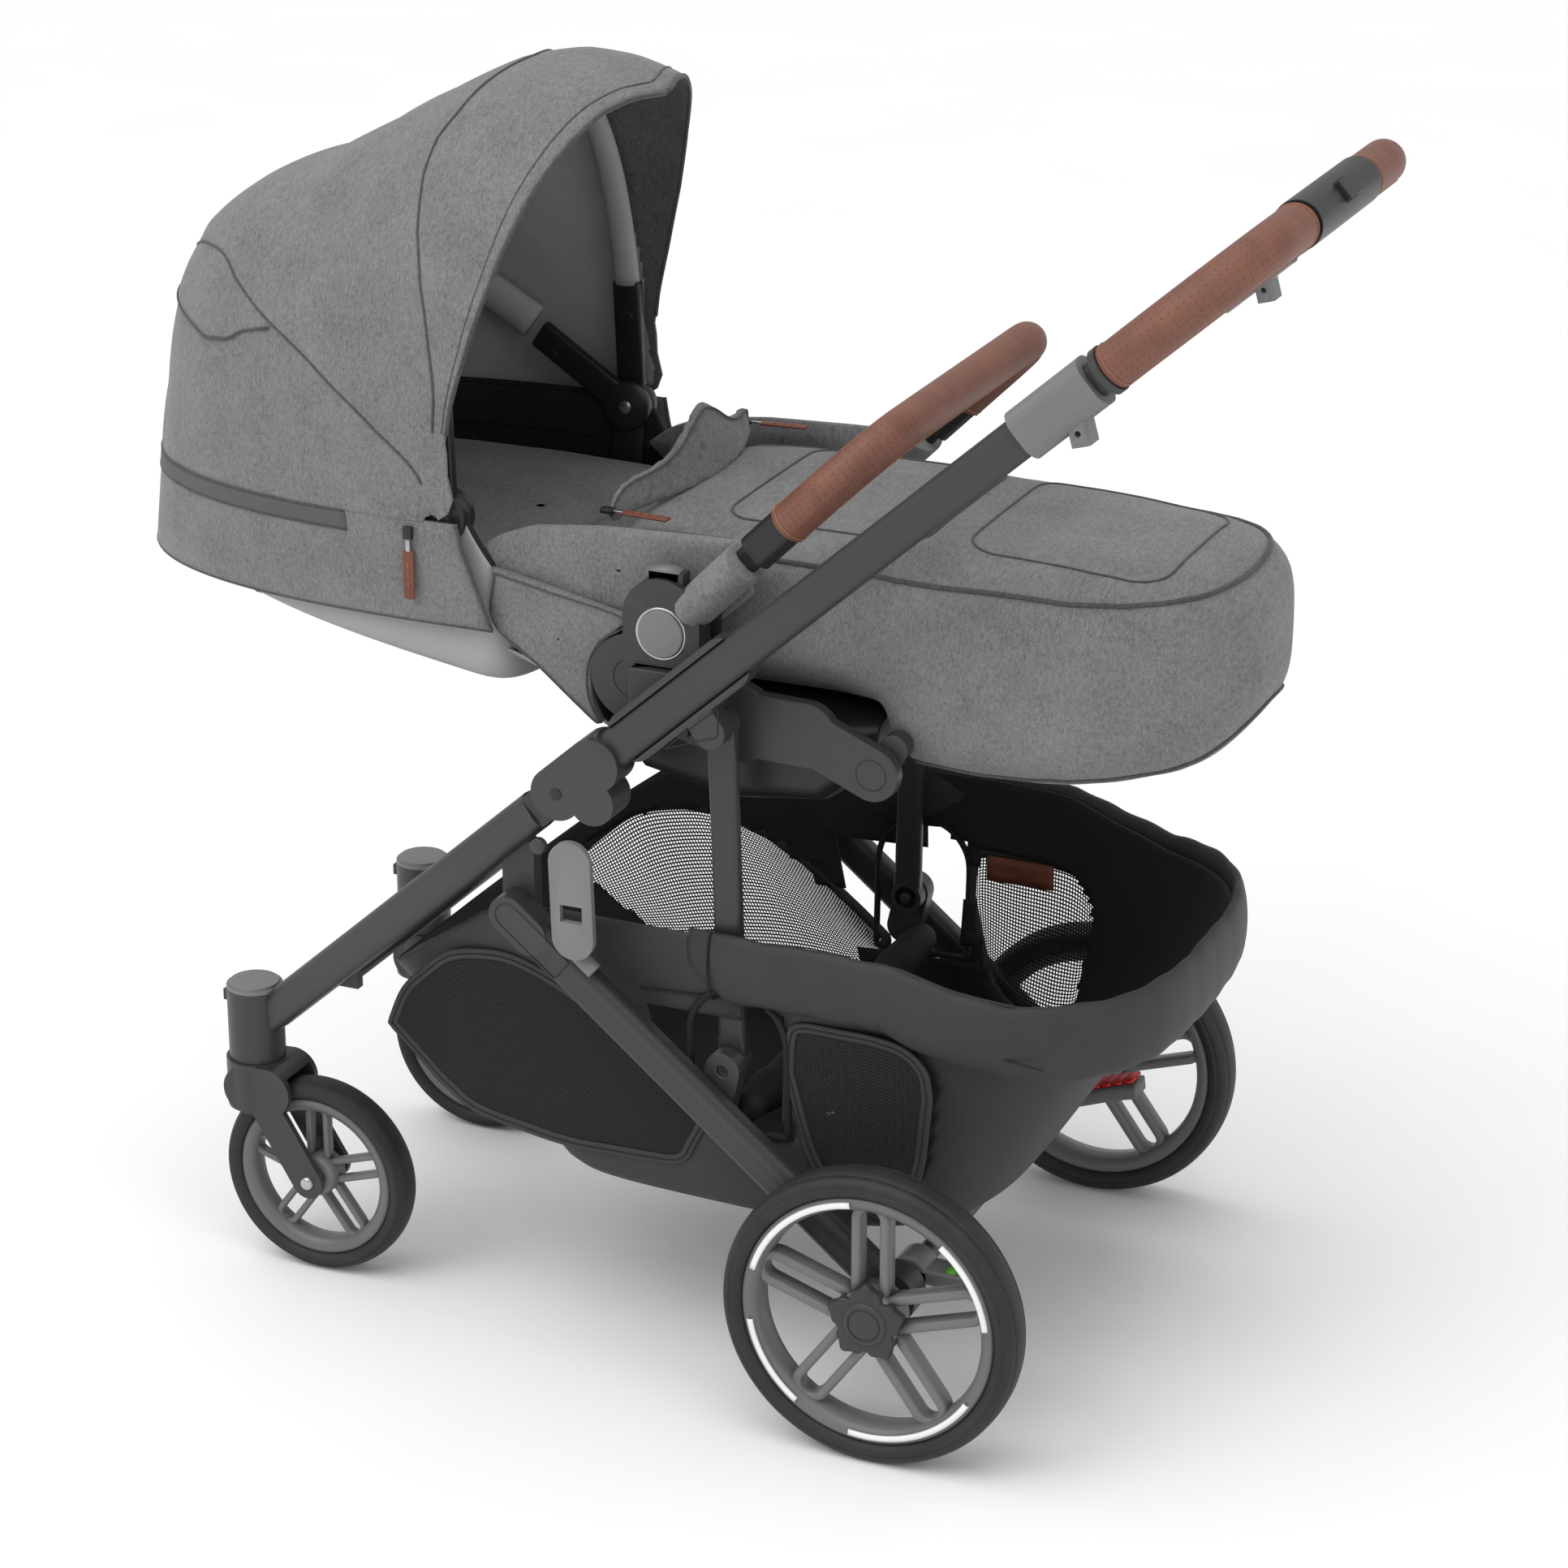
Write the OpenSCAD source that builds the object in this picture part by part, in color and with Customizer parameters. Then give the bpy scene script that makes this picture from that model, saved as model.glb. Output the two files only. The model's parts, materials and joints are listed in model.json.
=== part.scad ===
// Four-wheeled stroller with a flat parent-facing seat, hood, foot cover and storage basket.
// +X points back to the handle, +Y to the right-hand side, +Z up; the wheels stand on Z = 0.

/* [Wheels] */
// Radius of a rear wheel
rear_r = 130; // [120:1:138]
// Width of a rear tyre
rear_tyre_w = 39; // [30:1:40]
// Sideways distance from the middle to a rear wheel's centre plane
rear_wheel_y = 271.4; // [271:0.2:280]
// Radius of a front wheel
front_r = 91; // [84:1:92]
// Width of a front tyre
front_tyre_w = 33; // [28:1:34]
// Sideways distance from the middle to a caster's axis
caster_y = 157; // [150:1:165]

/* [Frame] */
// Slope of the main tubes, degrees above level
tube_angle = 41.54; // [41:0.01:42]
// Size of the main tube's section in the side view
tube_h = 33; // [28:1:34]
// Size of the main tube's section across the stroller
tube_w = 24; // [20:1:24]
// Sideways distance from the middle to a main tube
tube_y = 226; // [225:1:228]
// Wall of the frame tubes
tube_wall = 2; // [1.5:0.1:2.5]

/* [Handle] */
// Radius of the leather grip
grip_r = 18.5; // [16:0.5:19]
// Radius of the handle's rounded corner
handle_bend = 93; // [80:1:100]
// Distance up the tube from the fold hinge to the crossbar
crossbar_s = 742; // [735:0.5:765]

/* [Soft parts] */
// Half the width of the foot cover
boot_half = 157; // [150:1:158]
// Thickness of the padded fabric walls
pad_t = 8; // [5:0.5:9]
// Half the width of the hood
hood_half = 199; // [195:1:201]
// Thickness of the hood fabric
hood_t = 3; // [2:0.5:4]
// Thickness of the basket fabric
basket_t = 3; // [2:0.5:4]

/* [Hidden] */
$fn = 48;

// Pivots and other points of the side view, as [x, z]
x_mid = 60;
fold_pivot = [5, 530];
leg_pivot = [-45, 412];
strut_top = [138, 600];
strut_foot = [140, 295];
rear_axle = [300, rear_r];
caster_x = -341;
front_axle = [caster_x + 60, front_r];
seat_pivot = [47, 617];
calf_pivot = [258, 565];
hood_pivot = [-125, 732];
bumper_foot = [118, 700];

tube_dir = [cos(tube_angle), sin(tube_angle)];
rear_leg_angle = atan2(rear_axle[1] - leg_pivot[1], rear_axle[0] - leg_pivot[0]);
rear_leg_y = 228;
rear_leg_w = 22;
rear_leg_h = 34;
collar_s = 526;
collar_len = 74;
arm_end_s = crossbar_s - handle_bend;
inner_tube_s = 330;
running = 0.05;
gap = 0.3;

charcoal = "#3a3b3d";
black = "#1c1c1e";
light_grey = "#8e8f91";
rim_grey = "#77787a";
fabric = "#6f7072";
tan = "#9a5238";

// ---------- helpers ----------

// Puts the finished stroller's middle at X = 0.
module place() { translate([-x_mid, 0, 0]) children(); }

// Draws the child for the right-hand side (s = 1) or mirrors it to the left (s = -1).
module side(s) { place() mirror([0, s < 0 ? 1 : 0, 0]) children(); }

// Turns a flat drawing in (x, z) into a plate from y0 to y1.
module plate(y0, y1) { translate([0, y1, 0]) rotate([90, 0, 0]) linear_extrude(y1 - y0) children(); }

// A cylinder along Y at the side-view point p.
module peg(p, r, y0, y1) { translate([p[0], y0, p[1]]) rotate([-90, 0, 0]) cylinder(r = r, h = y1 - y0); }

// A flat bar with round ends of radius r from a to b. Its sides meet the ends a hair inside the
// tangent, which keeps every edge well defined.
module stadium(a, b, r) {
    d = b - a;
    side_r = 0.998 * r;
    translate(a) circle(r);
    translate(b) circle(r);
    translate(a) rotate(atan2(d[1], d[0])) translate([0, -side_r]) square([norm(d), 2 * side_r]);
}

// A rectangle with round corners, centred, a by b.
module round_rect(a, b, r) {
    square([a - 2 * r, b], center = true);
    square([a, b - 2 * r], center = true);
    for (i = [-1, 1], j = [-1, 1]) translate([i * (a / 2 - r), j * (b / 2 - r)]) circle(r);
}

// Turns the Z axis to run from point p to point q in space.
module along(p, q) {
    d = q - p;
    translate(p) rotate([0, acos(d[2] / norm(d)), atan2(d[1], d[0])]) children();
}

// A straight bar of rounded section, a in the side view by b across, hollow when wall > 0.
module bar(p, q, a, b, r, wall = 0) {
    along(p, q) linear_extrude(norm(q - p)) difference() {
        round_rect(a, b, r);
        if (wall > 0) round_rect(a - 2 * wall, b - 2 * wall, max(r - wall, 0.5));
    }
}

// A post from p to q, a along X by b across, for a bar that stands nearly upright.
module post(p, q, a, b, r) {
    d = q - p;
    translate(p) rotate([-atan2(d[1], d[2]), 0, 0]) rotate([0, atan2(d[0], norm([d[1], d[2]])), 0])
        linear_extrude(norm(d)) round_rect(a, b, r);
}

// The point at distance s up the main tube, and the same shifted sideways.
function up(s) = fold_pivot + s * tube_dir;
function tube_point(s, y = tube_y) = [up(s)[0], y, up(s)[1]];

function sgn_pow(v, n) = sign(v) * pow(abs(v), 2 / n);
// A closed rounded outline in the plane X = x.
function cross_ring(x, w, z0, z1, n, count) = [
    for (i = [0:count - 1]) let (t = 360 * (i + 0.5) / count)
        [x, w * sgn_pow(cos(t), n), (z0 + z1) / 2 + (z1 - z0) / 2 * sgn_pow(sin(t), n)]
];

// Solid skin over closed rings of points, with its ends closed, or joined when looped.
module skin(rings, loop = false) {
    n = len(rings[0]);
    m = len(rings);
    last = loop ? m - 1 : m - 2;
    sides = [
        for (i = [0:last], j = [0:n - 1])
            let (a = i * n, b = ((i + 1) % m) * n, k = (j + 1) % n)
            each [[a + j, b + k, b + j], [a + j, a + k, b + k]]
    ];
    caps = loop ? [] : [[for (j = [n - 1:-1:0]) j], [for (j = [0:n - 1]) (m - 1) * n + j]];
    polyhedron([for (r = rings) each r], concat(sides, caps));
}

// Skin over arched bands: each ring runs over the outside and back along the inside.
module arch_skin(rings) {
    n = len(rings[0]);
    m = len(rings);
    sides = [
        for (i = [0:m - 2], j = [0:n - 1])
            let (a = i * n, b = (i + 1) * n, k = (j + 1) % n)
            each [[a + j, b + k, b + j], [a + j, a + k, b + k]]
    ];
    half = n / 2;
    ends = [
        for (j = [0:half - 2])
            let (o = n - 1 - j, e = (m - 1) * n)
            each [
                [j, o, j + 1], [j + 1, o, o - 1],
                [e + j, e + j + 1, e + o], [e + j + 1, e + o - 1, e + o]
            ]
    ];
    polyhedron([for (r = rings) each r], concat(sides, ends));
}

// ---------- front chassis ----------

leg_top = 34;
leg_bottom = [-318, caster_y + 3, fold_pivot[1] + (-318 - fold_pivot[0]) * tan(tube_angle)];
leg_start = tube_point(-leg_top);

module front_leg() {
    color(charcoal) difference() {
        union() {
            bar(leg_start, leg_bottom, tube_h, tube_w, 10, tube_wall);
            plate(216.5, 235.5) {
                circle_at(fold_pivot, 20);
                stadium(fold_pivot, up(-leg_top + 4), 15);
            }
            bar(
                tube_point(-leg_top - 1), tube_point(-leg_top - 18) - [0, 3.5, 0],
                tube_h - 2, tube_w - 2, 9
            );
        }
        peg(fold_pivot, 5 + running, 200, 250);
    }
}
module circle_at(p, r) { translate(p) circle(r); }
module front_leg_left() { side(-1) front_leg(); }
module front_leg_right() { side(1) front_leg(); }

housing_z = 196;
housing_top = 262;
housing_r = 25;
module caster_housing() {
    color(charcoal) difference() {
        union() {
            translate([caster_x, caster_y, housing_z]) cylinder(r = housing_r, h = housing_top - housing_z);
            bar([caster_x + 10, caster_y + 1, 231], leg_bottom, tube_h - 2, tube_w - 1, 9);
            translate([caster_x - housing_r - 4, caster_y - 6, 246]) cube([8, 12, 10]);
        }
        translate([caster_x, caster_y, housing_z - 1]) cylinder(r = 8 + running, h = 51);
    }
}
module caster_housing_left() { side(-1) caster_housing(); }
module caster_housing_right() { side(1) caster_housing(); }

module caster_caps() {
    for (s = [-1, 1]) side(s) color(light_grey) translate([caster_x, caster_y, housing_top]) {
        cylinder(r = housing_r, h = 3.5);
        cylinder(r = housing_r - 3, h = 6);
    }
}

// Cheeks under the front legs, with the pins that the rear legs turn on.
bracket_y0 = 203;
bracket_y1 = 216.6;
module leg_bracket() {
    plate(bracket_y0, bracket_y1) stadium(leg_pivot, leg_pivot + [0, 50], 15);
    peg(leg_pivot, 5, bracket_y0 + 2, 233);
}

// Cross tube between the front legs, with the rear legs' brackets.
cross_tube_x = -246;
cross_tube_z = 288;
module front_cross_tube() {
    place() color(charcoal) {
        peg([cross_tube_x, cross_tube_z], 8, -152, 152);
        for (s = [-1, 1]) mirror([0, s < 0 ? 1 : 0, 0]) {
            leg_bracket();
            difference() {
                translate([cross_tube_x - 12, 152, cross_tube_z - 9]) cube([24, 9, 28]);
                bar(leg_start, leg_bottom, tube_h, tube_w, 10);
            }
        }
    }
}

// ---------- upper frame ----------

tube_s0 = 62;
tube_s1 = 560;
module upper_tube() {
    color(charcoal) bar(tube_point(tube_s0), tube_point(tube_s1), tube_h, tube_w, 10, tube_wall);
}
module upper_tube_left() { side(-1) upper_tube(); }
module upper_tube_right() { side(1) upper_tube(); }

// The knuckle closes round the front leg's boss between two cheeks.
module fold_housing() {
    color(charcoal) difference() {
        union() {
            plate(209, 243) {
                stadium(fold_pivot, up(44), 23);
                circle_at(up(26) + [12, -20], 20);
            }
            bar(tube_point(44), tube_point(tube_s0), tube_h + 6, tube_w + 8, 12);
            bar(
                tube_point(tube_s0), tube_point(tube_s0 + 40),
                tube_h - 2 * tube_wall, tube_w - 2 * tube_wall, 7.9
            );
        }
        plate(215.9, 236.1) {
            circle_at(fold_pivot, 24);
            translate(fold_pivot) rotate(tube_angle + 90) translate([-36, 0]) square([72, 60]);
        }
        peg(fold_pivot, 5, 200, 250);
    }
}
module fold_housing_left() { side(-1) fold_housing(); }
module fold_housing_right() { side(1) fold_housing(); }

// Hinge pins of the upper frame: the fold hinge and the struts' upper pivots.
module frame_pins() {
    for (s = [-1, 1]) side(s) color(black) {
        peg(fold_pivot, 5, 208, 244);
        peg(strut_top, 5, 199, 226);
    }
}

module strut_brackets() {
    for (s = [-1, 1]) side(s) color(charcoal) difference() {
        plate(214.2, 234) {
            stadium(up(87), up(196), 22.4);
            stadium(strut_top, up(150), 14);
        }
        bar(tube_point(20), tube_point(300), tube_h, 60, 10);
        peg(strut_top, 5, 180, 227);
        translate(tube_point(220) + [-200, -30, 12]) rotate([0, -tube_angle, 0])
            cube([500, 60, 60], center = true);
    }
}

mount_x0 = 58;
mount_x1 = 110;
mount_y = 184.6;
tongue_y0 = 187;
tongue_y1 = 197;
module seat_mounts() {
    for (s = [-1, 1]) side(s) color(charcoal) difference() {
        translate([mount_x0, mount_y, 584]) cube([mount_x1 - mount_x0, tube_y - tube_w / 2 - mount_y, 54]);
        translate([68, tongue_y0 - gap, 596]) cube([32, tongue_y1 - tongue_y0 + 2 * gap, 60]);
    }
}

// ---------- collars and handle ----------

strap_hole = up(collar_s + 52) + [7.2, -26];
module fold_collar() {
    color(light_grey) difference() {
        union() {
            bar(tube_point(collar_s), tube_point(collar_s + collar_len), tube_h + 10, tube_w + 9, 14);
            bar(tube_point(collar_s + 52), tube_point(collar_s + 52) + [10, 0, -36], 16, 22, 3);
        }
        peg(strap_hole, 2.5, 200, 250);
        bar(tube_point(collar_s - 20), tube_point(collar_s + 54), tube_h + 2 * gap, tube_w + 2 * gap, 10.3);
        bar(tube_point(collar_s), tube_point(collar_s + 120), 28.4, 19.4, 8.2);
    }
}
module fold_collar_left() { side(-1) fold_collar(); }
module fold_collar_right() { side(1) fold_collar(); }

// One side of a U of round bar: an arm up to distance s1 along the slope, then the bend.
// A fine ring covers each join with a straight run.
ring = 0.4;
module half_u(r, foot, slope, s0, s1, half, bend) {
    translate([foot[0], 0, foot[1]]) rotate([0, -slope, 0]) {
        translate([s0, half, 0]) rotate([0, 90, 0]) cylinder(r = r, h = s1 - s0 - ring / 2);
        translate([s1 - ring, half, 0]) rotate([0, 90, 0]) cylinder(r = r + ring, h = 3 * ring);
        translate([s1, half - bend, 0]) rotate_extrude(angle = 90) translate([bend, 0]) circle(r);
        translate([s1 + bend, half - bend - 2 * ring, 0]) rotate([-90, 0, 0])
            cylinder(r = r + ring, h = 3 * ring);
    }
}
// Inner tubes that slide in the frame, and the bent core under the leather.
bar_end_y = tube_y - handle_bend - ring / 2;
module half_handle(r, s0) { half_u(r, fold_pivot, tube_angle, s0, arm_end_s, tube_y, handle_bend); }
core_r = 12;
module handle_bar() {
    place() color(charcoal) {
        peg(up(crossbar_s), core_r, -bar_end_y, bar_end_y);
        for (s = [-1, 1]) mirror([0, s < 0 ? 1 : 0, 0]) {
            bar(tube_point(inner_tube_s), tube_point(collar_s + 85), 28, 19, 8);
            along(tube_point(collar_s + 84), tube_point(collar_s + 90)) cylinder(r = grip_r + 1.5, h = 6.2);
            half_handle(core_r, collar_s + 87);
        }
    }
}

grip_s0 = collar_s + 90.4;
housing_half = 78;
module handle_grip() {
    color(tan) difference() {
        union() {
            half_handle(grip_r, grip_s0);
            peg(up(crossbar_s), grip_r, housing_half + 1, bar_end_y);
        }
        half_handle(core_r, grip_s0 - 5);
        peg(up(crossbar_s), core_r, 0, bar_end_y);
    }
}
module handle_grip_left() { side(-1) handle_grip(); }
module handle_grip_right() { side(1) handle_grip(); }

button_half = 15;
module handle_housing() {
    place() color(black) difference() {
        peg(up(crossbar_s), grip_r + 1.5, -housing_half, housing_half);
        peg(up(crossbar_s), core_r, -100, 100);
        translate([up(crossbar_s)[0], 0, up(crossbar_s)[1]]) rotate([0, 90 - tube_angle, 0])
            translate([-9, -button_half - gap, 10]) cube([18, 2 * button_half + 2 * gap, 30]);
    }
}
module handle_button() {
    place() color(black) translate([up(crossbar_s)[0], 0, up(crossbar_s)[1]])
        rotate([0, 90 - tube_angle, 0]) translate([-8.6, -button_half, 16])
            cube([17.2, 2 * button_half, 7.5]);
}

// ---------- fold struts ----------

strut_y_top = 207;
strut_y_foot = 192;
strut_w = 12;
module fold_strut() {
    top = [strut_top[0], strut_y_top, strut_top[1]];
    foot = [strut_foot[0], strut_y_foot, strut_foot[1]];
    color(charcoal) difference() {
        union() {
            post(foot + [0, 0.9, 18], top - [0, 1, 20], 25, strut_w, 5);
            peg(strut_top, 13, strut_y_top - strut_w / 2, strut_y_top + strut_w / 2);
            post(top - [0, 1.2, 24], top - [0, 0, 2], 25, strut_w, 3);
            peg(strut_foot, 15, strut_y_foot - strut_w / 2, strut_y_foot + strut_w / 2);
            post(foot + [0, 0, 2], foot + [0, 1.1, 22], 25, strut_w, 3);
        }
        peg(strut_top, 5 + running, 180, 240);
        peg(strut_foot, 10.5, 170, 230);
    }
}
module fold_strut_left() { side(-1) fold_strut(); }
module fold_strut_right() { side(1) fold_strut(); }

// ---------- rear frame ----------

leg_foot = rear_axle + 8 * [-cos(rear_leg_angle), -sin(rear_leg_angle)];

// The rear leg turns on a pin that is fixed in the front leg's bracket.
module rear_leg() {
    color(charcoal) difference() {
        union() {
            bar(
                [leg_pivot[0], rear_leg_y, leg_pivot[1]]
                    + 20 * [cos(rear_leg_angle), 0, sin(rear_leg_angle)],
                [leg_foot[0], rear_leg_y, leg_foot[1]], rear_leg_h, rear_leg_w, 9, tube_wall
            );
            plate(rear_leg_y - 11, rear_leg_y + 11) stadium(
                leg_pivot, leg_pivot + 24 * [cos(rear_leg_angle), sin(rear_leg_angle)], 17
            );
            peg(rear_axle, 24, rear_leg_y - 13, rear_leg_y + 13);
        }
        peg(leg_pivot, 5 + running, 200, 234.5);
        peg(rear_axle, 9, 200, 243);
    }
}
module rear_leg_left() { side(-1) rear_leg(); }
module rear_leg_right() { side(1) rear_leg(); }

axle_r = 6;
module rear_axle_tube() {
    place() color(charcoal) {
        peg(rear_axle, 9, -243, 243);
        peg(rear_axle, axle_r, -rear_wheel_y - 12, rear_wheel_y + 12);
    }
}

// Padded cross tube that joins the two strut feet.
module rear_cross_tube() {
    place() color(black) peg(strut_foot + [14, -42], 9, -216.9, 216.9);
}

module strut_feet() {
    for (s = [-1, 1]) side(s) color(charcoal) {
        plate(200, 216.9) difference() {
            stadium(strut_foot, strut_foot + [-8, -36], 16);
            circle_at(strut_foot, 5);
        }
        peg(strut_foot, 5, 183, 212);
    }
}

// ---------- basket ----------

ring_n = 48;
basket_front = -236;
basket_back = 487;
basket_floor = 160;
floor_front = -52;
floor_back = 345;
basket_half = 211;
// Height of the basket's edge along its length
function basket_edge(x) = lookup(x, [
    [-240, 276], [-175, 330], [-95, 388], [-20, 408], [219, 413],
    [290, 411], [335, 396], [390, 384], [487, 384]
]);
function basket_width(x) = lookup(x, [
    [-240, 150], [-120, 185], [0, 203], [150, basket_half], [487, basket_half]
]);
// One outline of the basket, at fraction f from floor to edge, drawn in by t.
function basket_ring(f, t, lift = 0) = [
    for (i = [0:ring_n - 1])
        let (
            a = 360 * (i + 0.5) / ring_n,
            n = cos(a) > 0 ? 3.2 : 5.5,
            u = sgn_pow(cos(a), n),
            v = sgn_pow(sin(a), n),
            top_x = (basket_front + basket_back) / 2 + (basket_back - basket_front) / 2 * u,
            low_x = (floor_front + floor_back) / 2 + (floor_back - floor_front) / 2 * u,
            x = low_x + (top_x - low_x) * f,
            y = basket_width(x) * (0.94 + 0.06 * f) * v,
            z = basket_floor + lift + (basket_edge(top_x) - basket_floor - lift) * f
        )
        [x - t * u, y - t * v, z]
];
arch_centre = [150, 322];
module basket() {
    place() color(black) difference() {
        skin([
            basket_ring(0, 4, 0), basket_ring(0.1, 0, 0), basket_ring(0.5, 0, 0), basket_ring(1, 0, 0),
            basket_ring(1, basket_t, 0), basket_ring(0.5, basket_t, 0), basket_ring(0.1, basket_t, 2),
            basket_ring(0, 4 + basket_t, 3)
        ]);
        for (s = [-1, 1]) mirror([0, s < 0 ? 1 : 0, 0]) {
            peg(arch_centre, 44, 185, 230);
            translate([arch_centre[0] - 44, 185, 236]) cube([88, 45, 86]);
        }
    }
}

// Padded edge of the basket behind the rear legs, a tube along the rim's own line.
rim_pad_r = 10;
rim_steps = 34;
rim_sides = 10;
function rim_point(i) =
    let (
        a = -105 + 210 * i / rim_steps,
        u = sgn_pow(cos(a), 3.2),
        v = sgn_pow(sin(a), 3.2),
        x = 240 + 248 * u
    )
    [x, (basket_width(x) + 9) * v, basket_edge(x) + 8];
function rim_frame_ring(i) =
    let (
        d = rim_point(min(i + 1, rim_steps)) - rim_point(max(i - 1, 0)),
        e = [d[1], -d[0], 0] / norm([d[0], d[1]])
    )
    [for (j = [0:rim_sides - 1]) let (t = 360 * j / rim_sides)
        rim_point(i) + rim_pad_r * (e * cos(t) + [0, 0, 1.15] * sin(t))];
module basket_rim() { place() color(black) skin([for (i = [0:rim_steps]) rim_frame_ring(i)]); }

// ---------- wheels ----------

// A wheel about the Y axis: rim band, hub and pairs of spoke rails.
module rim(r, w, hub, bore, spokes, rail) {
    rotate([-90, 0, 0]) difference() {
        union() {
            rotate_extrude() translate([r - 8, -w / 2]) square([8, w]);
            rotate_extrude() translate([r - 14, -w / 2 + 5]) square([7, w - 10]);
            translate([0, 0, -w / 2 - 1]) cylinder(r = hub, h = w + 2);
            for (i = [0:spokes - 1]) rotate(360 / spokes * i + 90) for (j = [-1, 1])
                translate([hub - 4, j * rail * 1.5 - rail / 2, -w / 2 + 4])
                    cube([r - hub - 6, rail, w - 8]);
        }
        translate([0, 0, -w]) cylinder(r = bore, h = 2 * w);
    }
}
module rear_rim(s) {
    side(s) translate([rear_axle[0], rear_wheel_y, rear_axle[1]]) {
        color(rim_grey) rim(rear_r - 19, 30, 27, axle_r + running, 5, 7);
        color(black) translate([0, 15.6, 0]) rotate([-90, 0, 0]) difference() {
            cylinder(r = 30, h = 4);
            translate([0, 0, -1]) cylinder(r = 8, h = 3);
        }
    }
}
module rear_rim_left() { rear_rim(-1); }
module rear_rim_right() { rear_rim(1); }

// Rounded tyre section of width w, from radius r0 out to r1.
module tyre(r0, r1, w) {
    rotate([-90, 0, 0]) rotate_extrude() {
        translate([r0, -w / 2 + 3]) square([r1 - r0 - 10, w - 6]);
        translate([r1 - 12, 0]) difference() {
            union() {
                square([24, w - 12], center = true);
                for (j = [-1, 1]) translate([0, j * (w / 2 - 12)]) circle(12);
            }
            translate([-30, -w]) square([27, 2 * w]);
        }
    }
}
module rear_tyre(s) {
    side(s) color(black) translate([rear_axle[0], rear_wheel_y, rear_axle[1]])
        tyre(rear_r - 19, rear_r, rear_tyre_w);
}
module rear_tyre_left() { rear_tyre(-1); }
module rear_tyre_right() { rear_tyre(1); }

module at_front_wheel(s) { side(s) translate([front_axle[0], caster_y, front_axle[1]]) children(); }
module front_rim(s) { at_front_wheel(s) color(rim_grey) rim(front_r - 16, 24, 19, 4 + running, 5, 5); }
module front_rim_left() { front_rim(-1); }
module front_rim_right() { front_rim(1); }
module front_tyre(s) { at_front_wheel(s) color(black) tyre(front_r - 16, front_r, front_tyre_w); }
module front_tyre_left() { front_tyre(-1); }
module front_tyre_right() { front_tyre(1); }

// Fork with a crown under the housing, two blades, the axle and the swivel stem.
blade_in = front_tyre_w / 2 + 4;
blade_t = 6;
crown_z = 150;
module caster_fork(s) {
    y0 = caster_y - blade_in - blade_t;
    y1 = caster_y + blade_in + blade_t;
    crown_corner = [caster_x + 22, crown_z + 22];
    side(s) color(charcoal) {
        difference() {
            union() {
                translate([caster_x, caster_y, crown_z]) cylinder(r = 28, h = housing_z - gap - crown_z);
                plate(y0, y1) {
                    stadium(front_axle, [caster_x + 12, crown_z + 20], 15);
                    stadium([caster_x + 2, crown_z + 21], crown_corner, 23);
                }
            }
            plate(caster_y - blade_in, caster_y + blade_in) {
                circle_at(front_axle, front_r + 6);
                translate(front_axle - [0, 120]) square([200, 240], center = true);
            }
            translate([caster_x - 60, caster_y - 60, housing_z - gap]) cube([140, 120, 50]);
        }
        translate([caster_x, caster_y, housing_z - 3]) cylinder(r = 8, h = 50);
        peg(front_axle, 4, y0 + 1, y1 - 1);
    }
}
module caster_fork_left() { caster_fork(-1); }
module caster_fork_right() { caster_fork(1); }

// ---------- brake pedals and storage latch ----------

pedal_y0 = 168;
pedal_y1 = 196;
// The right pedal stands high and sinks to brake; the left one is low and rises with it.
module brake_pedal(s, tip_z) {
    side(s) color(light_grey) difference() {
        plate(pedal_y0, pedal_y1) {
            circle_at(rear_axle, 16);
            stadium(rear_axle + [10, -2], rear_axle + [66, tip_z], 7);
        }
        peg(rear_axle, 9 + running, 150, 230);
    }
}
module brake_pedal_left() { brake_pedal(-1, 0); }
module brake_pedal_right() { brake_pedal(1, 20); }

// Tab that hooks the folded frame; its barrel lies along the left rear leg's upper edge.
latch_y = -239.5;
latch_barrel = [leg_offset(45), leg_offset(85)];
// The point at distance s down the rear leg, lifted clear of its upper edge
function leg_offset(s) =
    leg_pivot + s * [cos(rear_leg_angle), sin(rear_leg_angle)]
    + 23.5 * [-sin(rear_leg_angle), cos(rear_leg_angle)];
module storage_latch() {
    place() color(light_grey) {
        plate(latch_y - 12.5, latch_y - 6.5) difference() {
            stadium([22, 408], [20, 474], 19);
            translate([11, 422]) square([20, 15]);
        }
        along(
            [latch_barrel[0][0], latch_y, latch_barrel[0][1]],
            [latch_barrel[1][0], latch_y, latch_barrel[1][1]]
        ) cylinder(r = 7, h = 40);
    }
}

// ---------- seat base ----------

module seat_shell() {
    place() color(black) skin([
        cross_ring(16, 120, 556, 598, 4, 32), cross_ring(40, 158, 514, 600, 4, 32),
        cross_ring(120, 164, 500, 601, 4, 32), cross_ring(200, 164, 512, 601, 4, 32),
        cross_ring(246, 140, 552, 598, 4, 32)
    ]);
}

arm_y0 = 172;
arm_y1 = 184;
module side_arms() {
    for (s = [-1, 1]) side(s) color(charcoal) difference() {
        plate(arm_y0, arm_y1) {
            circle_at(seat_pivot, 38);
            stadium([60, 612], [140, 592], 34);
            stadium([140, 592], [200, 590], 28);
            stadium([200, 590], calf_pivot, 23);
        }
        peg(seat_pivot, 8 + running, arm_y0 - 1, arm_y0 + 8);
        peg(calf_pivot, 6 + running, arm_y0 - 1, arm_y0 + 8);
    }
}

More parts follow.
